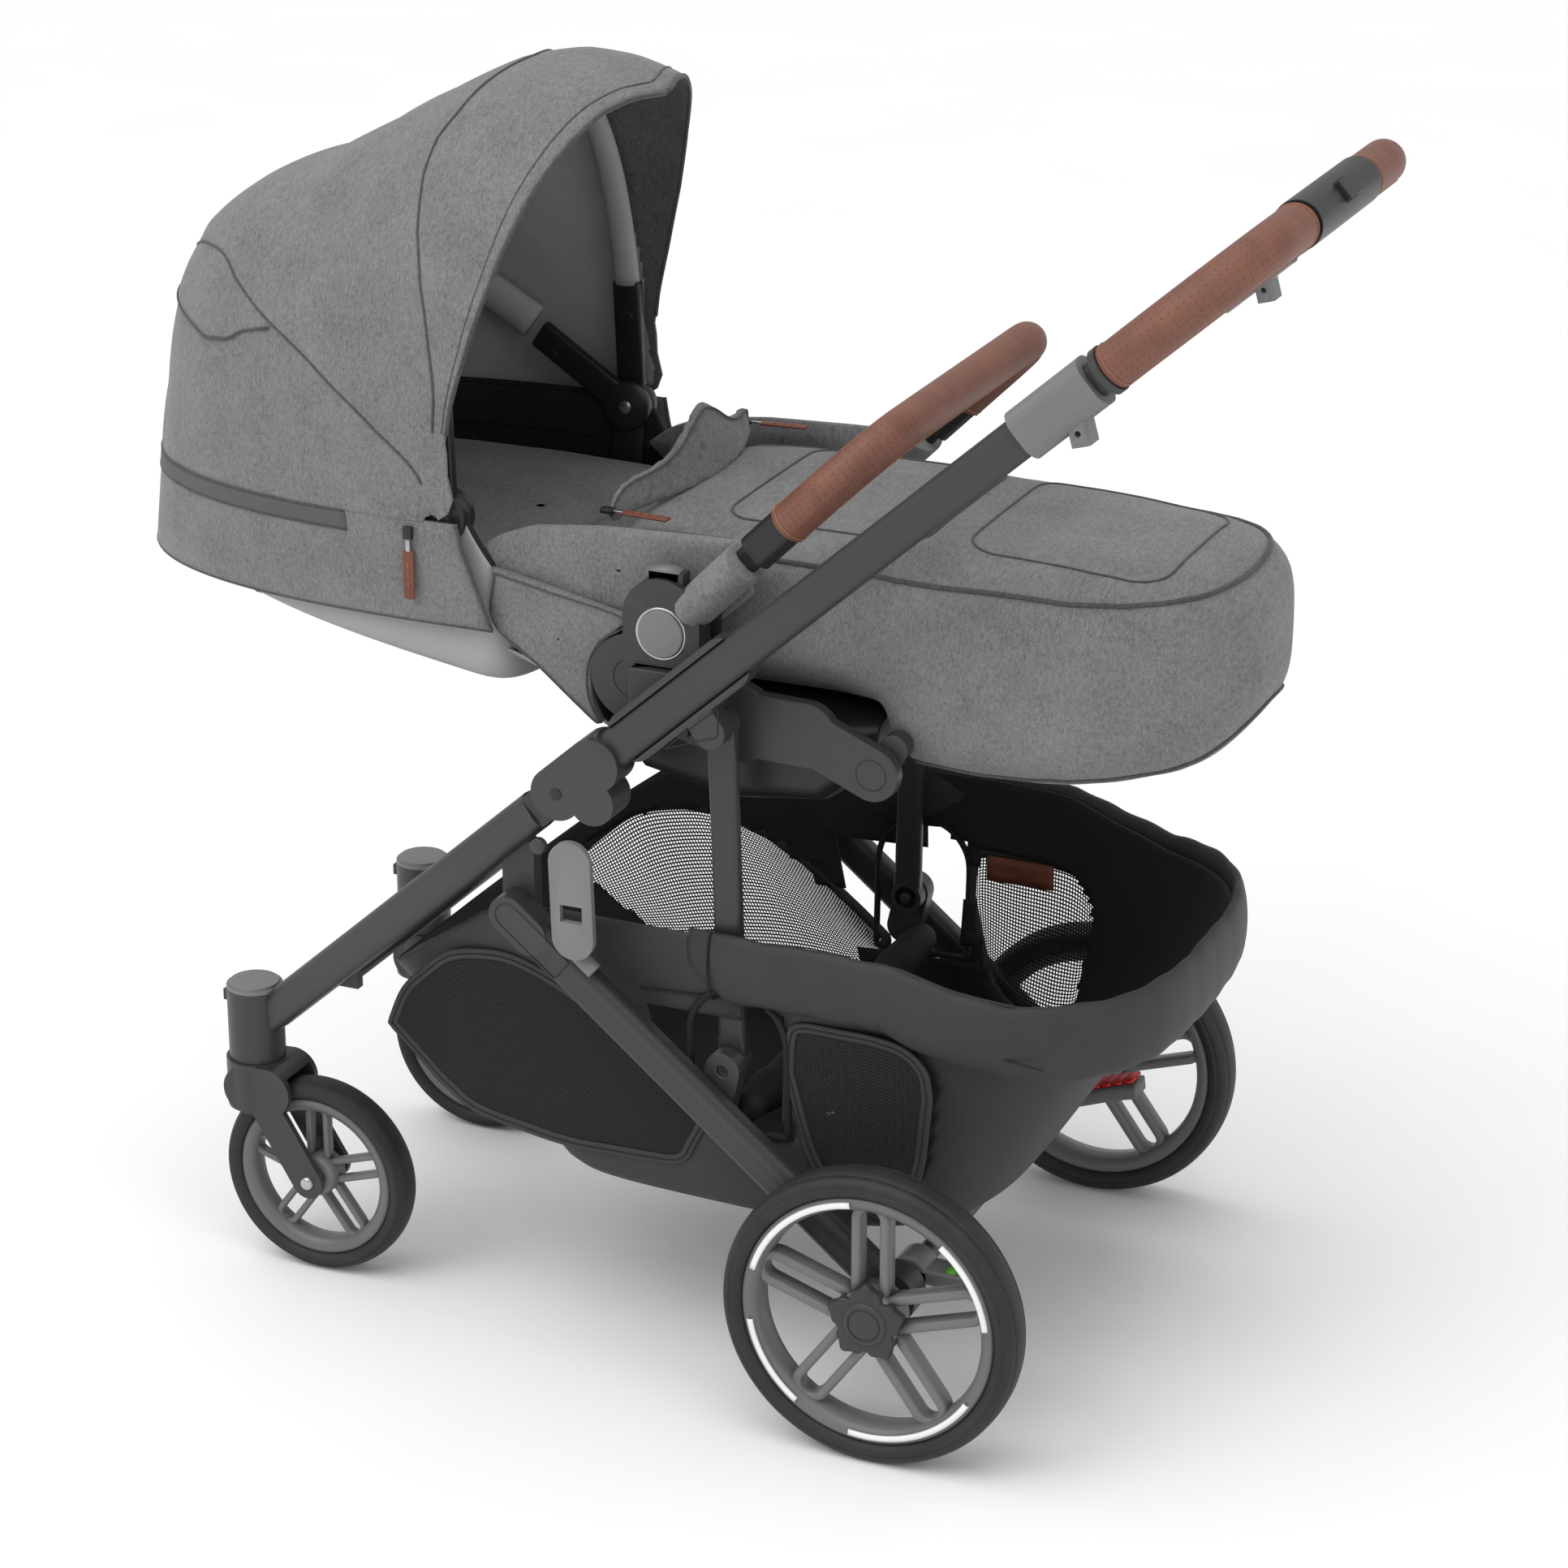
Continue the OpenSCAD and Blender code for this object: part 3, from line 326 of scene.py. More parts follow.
MATERIALS = {
    "frame": moulded("charcoal_coat", (0.030, 0.0305, 0.0315), 0.42, 0.18, 1800),
    "plastic": moulded("black_moulding", (0.012, 0.012, 0.0125), 0.42, 0.3, 900),
    "dark": moulded("dark_moulding", (0.026, 0.026, 0.027), 0.48, 0.3, 900),
    "accent": moulded("grey_moulding", (0.15, 0.15, 0.153), 0.42, 0.22, 900),
    "steel": moulded("steel", (0.4, 0.4, 0.41), 0.3, 0.1, 1500, 1.0),
    "rim": moulded("rim_moulding", (0.13, 0.131, 0.135), 0.4, 0.2, 900),
    "red": moulded("red_pad", (0.5, 0.012, 0.01), 0.45, 0.3, 700),
    "green": moulded("green_pad", (0.09, 0.33, 0.025), 0.45, 0.3, 700),
    "reflector": moulded("reflector", (0.75, 0.76, 0.78), 0.25, 0.3, 1200),
    "tyre": rubber("tyre_rubber"),
    "leather": leather("tan_leather", (0.175, 0.07, 0.045)),
    "leather_plain": leather("tan_leather_plain", (0.16, 0.05, 0.028), False),
    "thread": plain_cloth("tan_thread", (0.27, 0.13, 0.08)),
    "twill": melange("grey_twill", 0.09, 0.24),
    "twill_object": melange("grey_twill_pad", 0.085, 0.235, uv=False),
    "twill_dark": melange("grey_twill_shade", 0.05, 0.15, uv=False),
    "seam": melange("seam_twill", 0.035, 0.10, uv=False, depth=0.8),
    "zip": plain_cloth("zip_band", (0.085, 0.085, 0.087), spread=0.1, roughness=0.6),
    "twill_light": melange("light_twill", 0.12, 0.30, uv=False),
    "lining": plain_cloth("grey_lining", (0.34, 0.34, 0.343), wrinkle=1.0, spread=0.08),
    "black_cloth": plain_cloth("black_cloth", (0.014, 0.014, 0.015), spread=0.2, roughness=0.75),
    "coated": plain_cloth("coated_cloth", (0.034, 0.034, 0.035), spread=0.12, roughness=0.55, scale=1500, wrinkle=0.5),
    "net": open_mesh("open_net"),
    "net_close": open_mesh("close_net", pitch=2.4 * MM, share=0.42),
    "ribbed": ribbed_net("ribbed_net"),
}


# ---------------------------------------------------------------- mesh helpers

def add_object(name, verts, faces, material, uvs=None, smooth=True):
    """A mesh object from plain lists. uvs holds one (u, v) in metres for each vertex."""
    mesh = bpy.data.meshes.new(name)
    mesh.from_pydata([tuple(map(float, v)) for v in verts], [], [tuple(map(int, f)) for f in faces])
    if uvs is not None:
        layer = mesh.uv_layers.new(name="cloth")
        index = np.empty(len(mesh.loops), np.int64)
        mesh.loops.foreach_get("vertex_index", index)
        layer.data.foreach_set("uv", np.asarray(uvs, np.float32)[index].ravel())
    mesh.materials.append(MATERIALS[material])
    mesh.polygons.foreach_set("use_smooth", [smooth] * len(mesh.polygons))
    mesh.validate()
    obj = bpy.data.objects.new(name, mesh)
    bpy.context.scene.collection.objects.link(obj)
    return obj


def grid_faces(rows, cols, wrap_rows=False, wrap_cols=False):
    faces = []
    for i in range(rows if wrap_rows else rows - 1):
        for j in range(cols if wrap_cols else cols - 1):
            a, b = i * cols + j, i * cols + (j + 1) % cols
            k = ((i + 1) % rows) * cols
            faces.append((a, b, k + (j + 1) % cols, k + j))
    return faces


def grid_uv(points):
    """Metre coordinates over a grid of points, from the lengths along its rows and columns."""
    p = np.asarray(points, float)
    down = np.linalg.norm(np.diff(p, axis=0), axis=2)
    across = np.linalg.norm(np.diff(p, axis=1), axis=2)
    v = np.vstack([np.zeros(p.shape[1]), np.cumsum(down, axis=0)])
    u = np.hstack([np.zeros((p.shape[0], 1)), np.cumsum(across, axis=1)])
    u -= u.mean(axis=1, keepdims=True)
    v = np.repeat(v.mean(axis=1, keepdims=True), p.shape[1], axis=1)
    return np.stack([u, v], axis=2).reshape(-1, 2)


def add_grid(name, points, material, wrap_rows=False, wrap_cols=False, flip=False):
    """A sheet through a grid of points, rows by columns."""
    p = np.asarray(points, float)
    faces = grid_faces(p.shape[0], p.shape[1], wrap_rows, wrap_cols)
    if flip:
        faces = [f[::-1] for f in faces]
    return add_object(name, p.reshape(-1, 3), faces, material, grid_uv(p))


def modify(obj, kind, **settings):
    m = obj.modifiers.new(kind.lower(), kind)
    for key, value in settings.items():
        setattr(m, key, value)
    return m


def thicken(obj, thickness, offset=0.0, inner=None, edge=None):
    """Gives a sheet its thickness; inner and edge name the materials of its back and rim."""
    settings = {}
    for key, name in (("material_offset", inner), ("material_offset_rim", edge)):
        if name:
            obj.data.materials.append(MATERIALS[name])
            settings[key] = len(obj.data.materials) - 1
    modify(obj, "SOLIDIFY", thickness=thickness, offset=offset, **settings)


def apply_modifiers(obj):
    """Replaces the object's mesh by its evaluated one and drops the modifiers."""
    bpy.context.view_layer.update()
    graph = bpy.context.evaluated_depsgraph_get()
    mesh = bpy.data.meshes.new_from_object(obj.evaluated_get(graph), preserve_all_data_layers=True, depsgraph=graph)
    obj.modifiers.clear()
    obj.data = mesh
    return obj


def mirrored(points):
    return [(x, -y, z) for x, y, z in points]


def place(obj, body, slot, *nodes):
    """Last step for a piece: it rides on a body and stands for CAD nodes; its slot is not used."""
    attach(obj, body)
    if nodes:
        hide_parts(*nodes)
    return obj


def smooth_path(points, count):
    """Catmull-Rom curve through points, sampled evenly by parameter."""
    p = np.asarray(points, float)
    p = np.vstack([2 * p[0] - p[1], p, 2 * p[-1] - p[-2]])
    out = []
    for t in np.linspace(0, len(p) - 3 - 1e-9, count):
        i = int(t)
        f = t - i
        a, b, c, d = p[i:i + 4]
        out.append(0.5 * (2 * b + (c - a) * f + (2 * a - 5 * b + 4 * c - d) * f * f + (3 * b - a - 3 * c + d) * f ** 3))
    return np.array(out)


def even_path(points, step):
    """The same polyline with points an even step apart."""
    p = np.asarray(points, float)
    s = np.concatenate([[0], np.cumsum(np.linalg.norm(np.diff(p, axis=0), axis=1))])
    n = max(2, int(round(s[-1] / step)) + 1)
    t = np.linspace(0, s[-1], n)
    return np.stack([np.interp(t, s, p[:, k]) for k in range(3)], axis=1)


def sweep(name, path, section, material, closed=False, up=(0, 0, 1), caps=True):
    """A closed flat section, as (side, up) pairs or a list of them for each point, along a path."""
    p = np.asarray(path, float)
    n = len(p)
    ahead = np.roll(p, -1, axis=0) - np.roll(p, 1, axis=0) if closed else np.gradient(p, axis=0)
    ahead /= np.linalg.norm(ahead, axis=1, keepdims=True)
    side = np.cross(ahead, np.asarray(up, float))
    side /= np.maximum(np.linalg.norm(side, axis=1, keepdims=True), 1e-9)
    lift = np.cross(side, ahead)
    s = np.asarray(section, float)
    if s.ndim == 2:
        s = np.repeat(s[None], n, axis=0)
    rings = p[:, None] + side[:, None] * s[..., :1] + lift[:, None] * s[..., 1:]
    m = s.shape[1]
    length = np.concatenate([[0], np.cumsum(np.linalg.norm(np.diff(p, axis=0), axis=1))])
    round_ = np.concatenate([[0], np.cumsum(np.linalg.norm(np.diff(s[0], axis=0), axis=1))])
    uv = np.stack(np.meshgrid(length, round_, indexing="ij"), axis=2).reshape(-1, 2)
    faces = grid_faces(n, m, closed, True)
    if caps and not closed:
        faces += [tuple(range(m - 1, -1, -1)), tuple((n - 1) * m + j for j in range(m))]
    return add_object(name, rings.reshape(-1, 3), faces, material, uv)


def circle_section(r, count=20, flat=1.0):
    t = np.linspace(0, 2 * math.pi, count, endpoint=False)
    return np.stack([r * np.cos(t), r * flat * np.sin(t)], axis=1)


def tube(name, path, r, material, count=14, closed=False, up=(0, 0, 1)):
    return sweep(name, path, circle_section(r, count), material, closed, up)


def lathe(name, profile, centre, material, count=96, closed=True):
    """Turns a profile of (radius, y) pairs about the Y axis through centre."""
    prof = np.asarray(profile, float)
    t = np.linspace(0, 2 * math.pi, count, endpoint=False)
    c = np.asarray(centre, float)
    points = np.empty((count, len(prof), 3))
    points[..., 0] = c[0] + np.cos(t)[:, None] * prof[None, :, 0]
    points[..., 1] = c[1] + prof[None, :, 1]
    points[..., 2] = c[2] + np.sin(t)[:, None] * prof[None, :, 0]
    return add_object(name, points.reshape(-1, 3), grid_faces(count, len(prof), True, closed), material)


def join(name, objects):
    """One object out of several, keeping their materials."""
    bm = bmesh.new()
    materials = []
    for o in objects:
        o = apply_modifiers(o)
        remap = []
        for m in o.data.materials:
            if m not in materials:
                materials.append(m)
            remap.append(materials.index(m))
        for poly in o.data.polygons:
            poly.material_index = remap[poly.material_index]
        if not o.data.uv_layers:
            o.data.uv_layers.new(name="cloth")
        o.data.transform(o.matrix_world)
        bm.from_mesh(o.data)
    mesh = bpy.data.meshes.new(name)
    bm.to_mesh(mesh)
    bm.free()
    for m in materials:
        mesh.materials.append(m)
    for o in objects:
        bpy.data.objects.remove(o)
    obj = bpy.data.objects.new(name, mesh)
    bpy.context.scene.collection.objects.link(obj)
    return obj


def soften(obj, width, segments=2, angle=40):
    modify(obj, "BEVEL", width=width, segments=segments, limit_method="ANGLE", angle_limit=math.radians(angle))
    modify(obj, "WEIGHTED_NORMAL", keep_sharp=False, weight=60)
    return obj


def dress(node, material, bevel=0.9 * MM, segments=2):
    """A copy of a hard CAD piece with rounded edges and a finished surface, standing in its place."""
    source = frame["nodes"][node]
    mesh = source.data.copy()
    bm = bmesh.new()
    bm.from_mesh(mesh)
    bmesh.ops.remove_doubles(bm, verts=bm.verts, dist=0.00002)
    bmesh.ops.dissolve_limit(bm, angle_limit=math.radians(1.0), verts=bm.verts, edges=bm.edges)
    for f in bm.faces:
        f.smooth = True
        f.material_index = 0
    bm.to_mesh(mesh)
    bm.free()
    mesh.materials.clear()
    mesh.materials.append(MATERIALS[material])
    obj = bpy.data.objects.new(node + "_finished", mesh)
    bpy.context.scene.collection.objects.link(obj)
    soften(obj, bevel, segments)
    body = source["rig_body"]
    slots = {s["node"]: s["material_slot"] for s in frame["record"]["subparts"]}
    return place(obj, body, slots[node], node)


# ---------------------------------------------------------------- hard parts

HARD_PARTS = {
    "frame": [
        "front_leg_left", "front_leg_right", "caster_housing_left", "caster_housing_right",
        "front_cross_tube", "upper_tube_left", "upper_tube_right", "fold_housing_left", "fold_housing_right",
        "strut_brackets", "handle_bar", "fold_strut_left", "fold_strut_right", "rear_leg_left", "rear_leg_right",
        "rear_axle_tube", "strut_feet", "caster_fork_left", "caster_fork_right", "side_arms", "back_rails",
        "calf_lugs",
    ],
    "dark": ["seat_mounts", "seat_adaptor_left", "seat_adaptor_right"],
    "plastic": ["handle_housing", "handle_button", "bumper_bar", "bumper_sockets", "frame_pins", "seat_shell"],
    "accent": [
        "caster_caps", "fold_collar_left", "fold_collar_right", "storage_latch", "seat_button_left",
        "seat_button_right",
    ],
}
TIGHT_PARTS = {"frame_pins": 0.4, "handle_button": 0.8, "caster_caps": 0.8, "storage_latch": 1.6}


def dress_hard_parts():
    for material, nodes in HARD_PARTS.items():
        for node in nodes:
            dress(node, material, TIGHT_PARTS.get(node, 1.2) * MM)


# ---------------------------------------------------------------- the model's own coordinates

# Millimetres measured from a point 47 mm ahead of the recline hinge, as in the CAD source
X0 = pivot("seat_recline").x - 47 * MM
RECLINE, HOOD, CALF, LEG = (pivot(n) for n in ("seat_recline", "hood_fold", "calf_drop", "rear_frame_fold"))


def at(points):
    """Millimetre points to metres in the row frame."""
    p = np.asarray(points, float) * MM
    p[..., 0] += X0
    return p


def side_points(points, y):
    """Points given as (x, z), in millimetres, to space; y is one value or one for each point."""
    p = np.asarray(points, float)
    return np.stack([p[:, 0], np.broadcast_to(y, len(p)), p[:, 1]], axis=1)


def power(value, n):
    return np.sign(value) * np.abs(value) ** (2 / n)


def ripple(p, size, seed):
    """Smooth pseudo-random field over points in millimetres, about -1 to 1."""
    rng = np.random.default_rng(seed)
    total = 0
    for k in range(5):
        d = rng.normal(size=3)
        d *= 2 * math.pi / (size * rng.uniform(0.7, 1.6)) / np.linalg.norm(d)
        total = total + np.sin(p @ d + rng.uniform(0, 6.28))
    return total / 3.2


# ---------------------------------------------------------------- hood

HOOD_X, HOOD_Z, HOOD_HALF = -125.0, 732.0, 199.0
HOOD_LINE = np.array([
    [-462, 732], [-452, 790], [-432, 880], [-407, 930], [-360, 965], [-300, 985], [-240, 1018],
    [-190, 1046], [-140, 1071], [-100, 1080], [-60, 1077], [-20, 1065], [0, 1054],
])[::-1] - (HOOD_X, HOOD_Z)
HOOD_ANGLES = np.degrees(np.arctan2(HOOD_LINE[:, 1], HOOD_LINE[:, 0]))
HOOD_REACH = np.hypot(HOOD_LINE[:, 0], HOOD_LINE[:, 1])
# The visor's edge and the seam behind it: angle about the pivot against place round the arch
VISOR = ([90, 97, 108, 122, 136, 150, 162, 169, 173, 176, 179], [69.5, 71, 72.5, 73.8, 75.3, 76.4, 78, 79.5, 79, 70, 30])
SEAM = ([90, 102, 113, 120, 129, 141, 151, 161, 168, 173, 176, 179], [90, 92, 93.5, 95.5, 96.2, 95.8, 94.2, 91, 88, 88, 80, 50])


def hood_point(angle, q, half=HOOD_HALF, drop=0.0):
    """A point of the hood: angle about its pivot, and q from 0 on the right to 180 on the left."""
    angle, q = np.broadcast_arrays(np.asarray(angle, float), np.asarray(q, float))
    reach = (np.interp(angle, HOOD_ANGLES, HOOD_REACH) - drop) * power(np.sin(np.radians(q)), 2.6)
    a = np.radians(angle)
    # q counts towards the left-hand side, which is -Y
    y = half * power(np.cos(np.radians(q)), 2.6)
    return np.stack([HOOD_X + reach * np.cos(a), y, HOOD_Z + reach * np.sin(a)], axis=-1)


def edge_angle(table, q):
    return np.interp(np.maximum(q, 180 - np.asarray(q, float)), *table)


def dome_point(angle, q, lift=0.0):
    """A point of the hood's slightly uneven cloth, lifted off it by some millimetres."""
    angle, q = np.broadcast_arrays(np.asarray(angle, float), np.asarray(q, float))
    p = hood_point(angle, q)
    front = edge_angle(VISOR, q)
    t = np.clip((180 - angle) / (180 - front), 0, 1)
    out = p - np.array([HOOD_X, 0, HOOD_Z - 40])
    out /= np.linalg.norm(out, axis=-1, keepdims=True)
    fade = np.minimum(1, np.minimum(6 * t, 8 * (1 - t))) * np.sin(np.radians(q))
    wave = (ripple(p, 150, 3) * 1.6 + ripple(p, 60, 8) * 0.5) * fade
    return p + out * (wave + lift)[..., None]


def blend_hood(obj):
    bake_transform(obj)
    return obj


def hood_dome():
    q = np.concatenate([[0.4, 1.2, 2.4, 4], np.linspace(6, 174, 141), [176, 177.6, 178.8, 179.6]])
    rows = []
    for t in np.linspace(0, 1, 78):
        front = edge_angle(VISOR, q)
        rows.append(dome_point(180 + (front - 180) * t, q))
    dome = add_grid("hood_dome", at(rows), "twill_object")
    mesh = dome.data
    mesh.materials.clear()
    for name in ("twill_object", "twill_object", "lining", "twill_dark"):
        mesh.materials.append(MATERIALS[name])
    cols = len(q)
    for poly in mesh.polygons:
        i, j = divmod(poly.vertices[0], cols)
        a = 180 + (edge_angle(VISOR, q[j]) - 180) * i / 77
        poly.material_index = 1 if a < edge_angle(SEAM, q[j]) else 0
    modify(dome, "SOLIDIFY", thickness=2.4 * MM, offset=1, material_offset=2)
    blend_hood(dome)
    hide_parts("hood_mid", "hood_front")
    return dome


def hood_seams():
    """Seams and stitched hems that lie on the dome."""
    pieces = []
    for s in (1, -1):
        q = np.linspace(90, 172, 90)
        side = q if s > 0 else 180 - q
        for name, angle, lift, r in (
            ("seam", edge_angle(SEAM, side), 2.8, 1.3), ("hem", edge_angle(VISOR, side) + 0.2, 1.6, 1.9),
            ("stitch", edge_angle(VISOR, side) + 2.6, 2.6, 0.7),
        ):
            pieces.append(tube(name, at(dome_point(angle, side, lift)), r * MM, "seam", 8))
        # the line from the back of the dome down to the pivot, and the vent flap under it
        a = smooth_path(np.array([[148, 108, 0], [141, 124, 0], [140, 134, 0], [138.5, 144, 0], [135, 154, 0], [131, 163, 0], [122, 171, 0], [104, 177, 0]]), 70)
        b = a[:, 1] if s > 0 else 180 - a[:, 1]
        pieces.append(tube("gusset", at(dome_point(a[:, 0], b, 2.7)), 1.2 * MM, "seam", 8))
    seams = join("hood_seams", pieces)
    blend_hood(seams)

    rows = []
    for t in np.linspace(0, 1, 16):
        a0, a1 = 142 + 5 * t, 153
        q = np.linspace(90, 147, 40)
        lower = np.interp(q, [90, 120, 136, 142, 147], [157, 155, 153, 149, 139])
        upper = np.interp(q, [90, 108, 124, 134, 147], [149, 147, 141, 140, 137.5])
        half = dome_point(upper + (lower - upper) * t, q, 2.6 + 1.8 * t)
        rows.append(np.vstack([mirrored(half[::-1]), half[1:]]))
    flap = add_grid("hood_flap", at(rows), "twill_object")
    thicken(flap, 1.4 * MM, 1)
    hem = tube("hood_flap_hem", at(rows)[-1], 1.3 * MM, "seam", 8)
    tab = sweep("hood_tab", at(hood_point(np.linspace(149, 154, 5), 90, 203, -5.4)), [(-6 * MM, 0), (6 * MM, 0), (6 * MM, 1 * MM), (-6 * MM, 1 * MM)], "black_cloth", up=(0, 1, 0))
    hem = join("hood_flap_hem", [hem, tab])
    blend_hood(flap)
    blend_hood(hem)


def skirt_outline(lift=0.0, count=150):
    """The belt line of the hood from its left front corner round the head to the right one."""
    q = np.linspace(178, 2, count)
    arc = hood_point(180, q, HOOD_HALF + lift, -lift)
    left = side_points([(-103, HOOD_Z), (-114, HOOD_Z)], -(HOOD_HALF + lift))
    return np.vstack([left, arc, mirrored(left[::-1])])


def skirt_rows(levels, lift=0.0):
    base = skirt_outline(lift)
    near = np.clip((base[:, 0] + 462) / 323, 0, 1.12)
    rows = []
    for f in levels:
        p = base.copy()
        p[:, 0] += near * 14 * f - 14 * f * (1 - near) + np.clip((p[:, 0] + 150) / 47, 0, 1) * 14 * max(f - 0.25, 0)
        p[:, 1] *= 1 - 0.03 * f
        p[:, 2] -= 88 * f
        p[:, 1] += np.sign(p[:, 1]) * ripple(p, 120, 5) * 1.2 * math.sin(math.pi * min(f, 1)) * (near > 0.2)
        rows.append(p)
    return np.array(rows)


def hood_skirt():
    skirt = add_grid("hood_skirt", at(skirt_rows(np.linspace(-0.02, 1, 24))), "twill_object")
    thicken(skirt, 2.2 * MM, 1, inner="twill_dark", edge="seam")
    place(skirt, "seat_back", "grey_fabric", "hood_rear")
    band = add_grid("hood_zip_band", at(skirt_rows(np.linspace(0.015, 0.18, 6), 2.0)[:, 8:-8]), "zip")
    thicken(band, 1.0 * MM, 1)
    trims = [
        tube("hem", at(skirt_rows([1.0], 0.6)[0]), 2.0 * MM, "seam", 8),
        tube("hem_stitch", at(skirt_rows([0.87], 1.4)[0]), 0.6 * MM, "seam", 6),
        tube("zip_edge", at(skirt_rows([0.0], 2.4)[0][8:-8]), 0.9 * MM, "seam", 6),
        tube("zip_edge", at(skirt_rows([0.19], 2.4)[0][8:-8]), 0.9 * MM, "seam", 6),
    ]
    for index in (0, 4):
        for s in (1, -1):
            column = skirt_rows(np.linspace(-0.02, 1, 12), 1.4)[:, index if s > 0 else -1 - index]
            trims.append(tube("front_hem", at(column), (1.8 if index == 0 else 0.7) * MM, "seam", 6))
    trim = join("hood_skirt_trim", trims)
    place(trim, "seat_back", "grey_fabric")
    place(band, "seat_back", "grey_fabric")
    zip_pull("hood_zip", (-146, -203.5, 722), (0, 0, -1), (0, -1, 0), "seat_back")
    zip_pull("hood_zip_right", (-146, 203.5, 722), (0, 0, -1), (0, 1, 0), "seat_back")


def zip_pull(name, start, down, out, body):
    """A slider with its small puller and a leather tab that hangs along 'down', facing 'out'."""
    start, down, out = (np.array(v, float) for v in (start, down, out))
    across = np.cross(down, out)

    def box(centre, size, material, bevel=0.8):
        a, b, c = (d * s / 2 for d, s in zip((down, across, out), size))
        corners = [centre + i * a + j * b + k * c for i in (-1, 1) for j in (-1, 1) for k in (-1, 1)]
        faces = [(0, 1, 3, 2), (4, 6, 7, 5), (0, 4, 5, 1), (2, 3, 7, 6), (0, 2, 6, 4), (1, 5, 7, 3)]
        obj = add_object("piece", at(corners), faces, material)
        modify(obj, "BEVEL", width=bevel * MM, segments=2)
        return obj

    pieces = [box(start, (11, 8, 4.5), "plastic"), box(start + down * 11 + out * 0.6, (13, 4, 1.6), "steel", 0.5)]
    pieces.append(box(start + down * 36 + out * 0.4, (42, 10, 2.2), "leather_plain"))
    for k in (-8, 0, 8):
        pieces.append(box(start + down * (36 + k) + out * 1.7, (4.5, 1.2, 0.8), "thread", 0.3))
    pull = join(name, pieces)
    return place(pull, body, "leather")


def hood_bows():
    def bow(name, angle, half, drop, width, body, q0=17):
        q = np.linspace(q0, 180 - q0, 90)
        path = at(hood_point(angle, q, half, drop))
        sleeve = sweep(name, path, circle_section(width * MM, 20, 0.62), "lining", up=(math.cos(math.radians(angle)), 0, math.sin(math.radians(angle))))
        place(sleeve, body, "lining")
        return sleeve

    bow("hood_bow_front", 92, 184, 15, 12, "hood_bow", 14)
    bow("hood_bow_rear", 146, 182, 17, 17, "seat_back", 15)
    for side, s in SIDES.items():
        for angle, body, reach in ((92, "hood_bow", 112), (146, "seat_back", 104)):
            a = math.radians(angle)
            start = np.array([HOOD_X, s * 181, HOOD_Z])
            end = start + [math.cos(a) * reach, s * -1, math.sin(a) * reach]
            y = 0 if body == "hood_bow" else -s * 11
            path = at(even_path(np.array([start, end]) + [0, y, 0], 12))
            clip = sweep("clip", path, [(-5, -13), (5, -13), (5, 13), (-5, 13)] * np.array([MM, MM]), "plastic", up=(-math.sin(a), 0, math.cos(a)))
            modify(clip, "BEVEL", width=2.5 * MM, segments=3)
            hub = lathe("hub", np.array([(0, -6), (20, -6), (22, -4), (22, 4), (20, 6), (0, 6)]) * MM, at(start + [0, y, 0]), "plastic", 40, False)
            screw = lathe("screw", np.array([(0, -7.5), (5, -7.5), (6, -6.6), (6, 7), (0, 7)]) * MM, at(start + [0, y, 0]), "steel", 24, False)
            slot_path = []
            for t in np.linspace(-90, 90, 13):
                d = 78
                slot_path.append([math.cos(a) * (d + 6 * math.cos(math.radians(t))) - math.sin(a) * 5 * math.sin(math.radians(t)), 0, math.sin(a) * (d + 6 * math.cos(math.radians(t))) + math.cos(a) * 5 * math.sin(math.radians(t))])
            mark = tube("mark", at(start + np.array(slot_path) + [0, y - s * 5.2, 0]), 1.0 * MM, "dark", 8)
            piece = join("hood_clip_%s_%s" % ("front" if body == "hood_bow" else "rear", side), [clip, hub, screw, mark])
            place(piece, body, "black_plastic")
        post = sweep("hood_post_" + side, at([(HOOD_X - 2, s * 176, 716), (HOOD_X - 2, s * 174, 690), (HOOD_X - 2, s * 171, 664)]), [(-4 * MM, -16 * MM), (4 * MM, -16 * MM), (4 * MM, 16 * MM), (-4 * MM, 16 * MM)], "plastic", up=(1, 0, 0))
        modify(post, "BEVEL", width=2 * MM, segments=2)
        place(post, "seat_back", "black_plastic")


# ---------------------------------------------------------------- head tub and mattress

def tub_outline(t=0.0, fill=1.0, count=120):
    a = (np.arange(count) + 0.5) * 2 * math.pi / count
    n = np.where(np.cos(a) < 0, 2.6, 5.0)
    x = HOOD_X + (np.where(np.cos(a) < 0, 323, 65) - t) * power(np.cos(a), n) * fill
    return x, (182 - t) * power(np.sin(a), n) * fill


def tub_ring(f, t, head_z, slope, fill=1.0):
    x, y = tub_outline(t, fill)
    low = head_z - (x + 448) * slope
    edge = np.interp(x, [-110, -60], [738, 650])
    return np.stack([x, y, low + (edge - low) * f], axis=1)


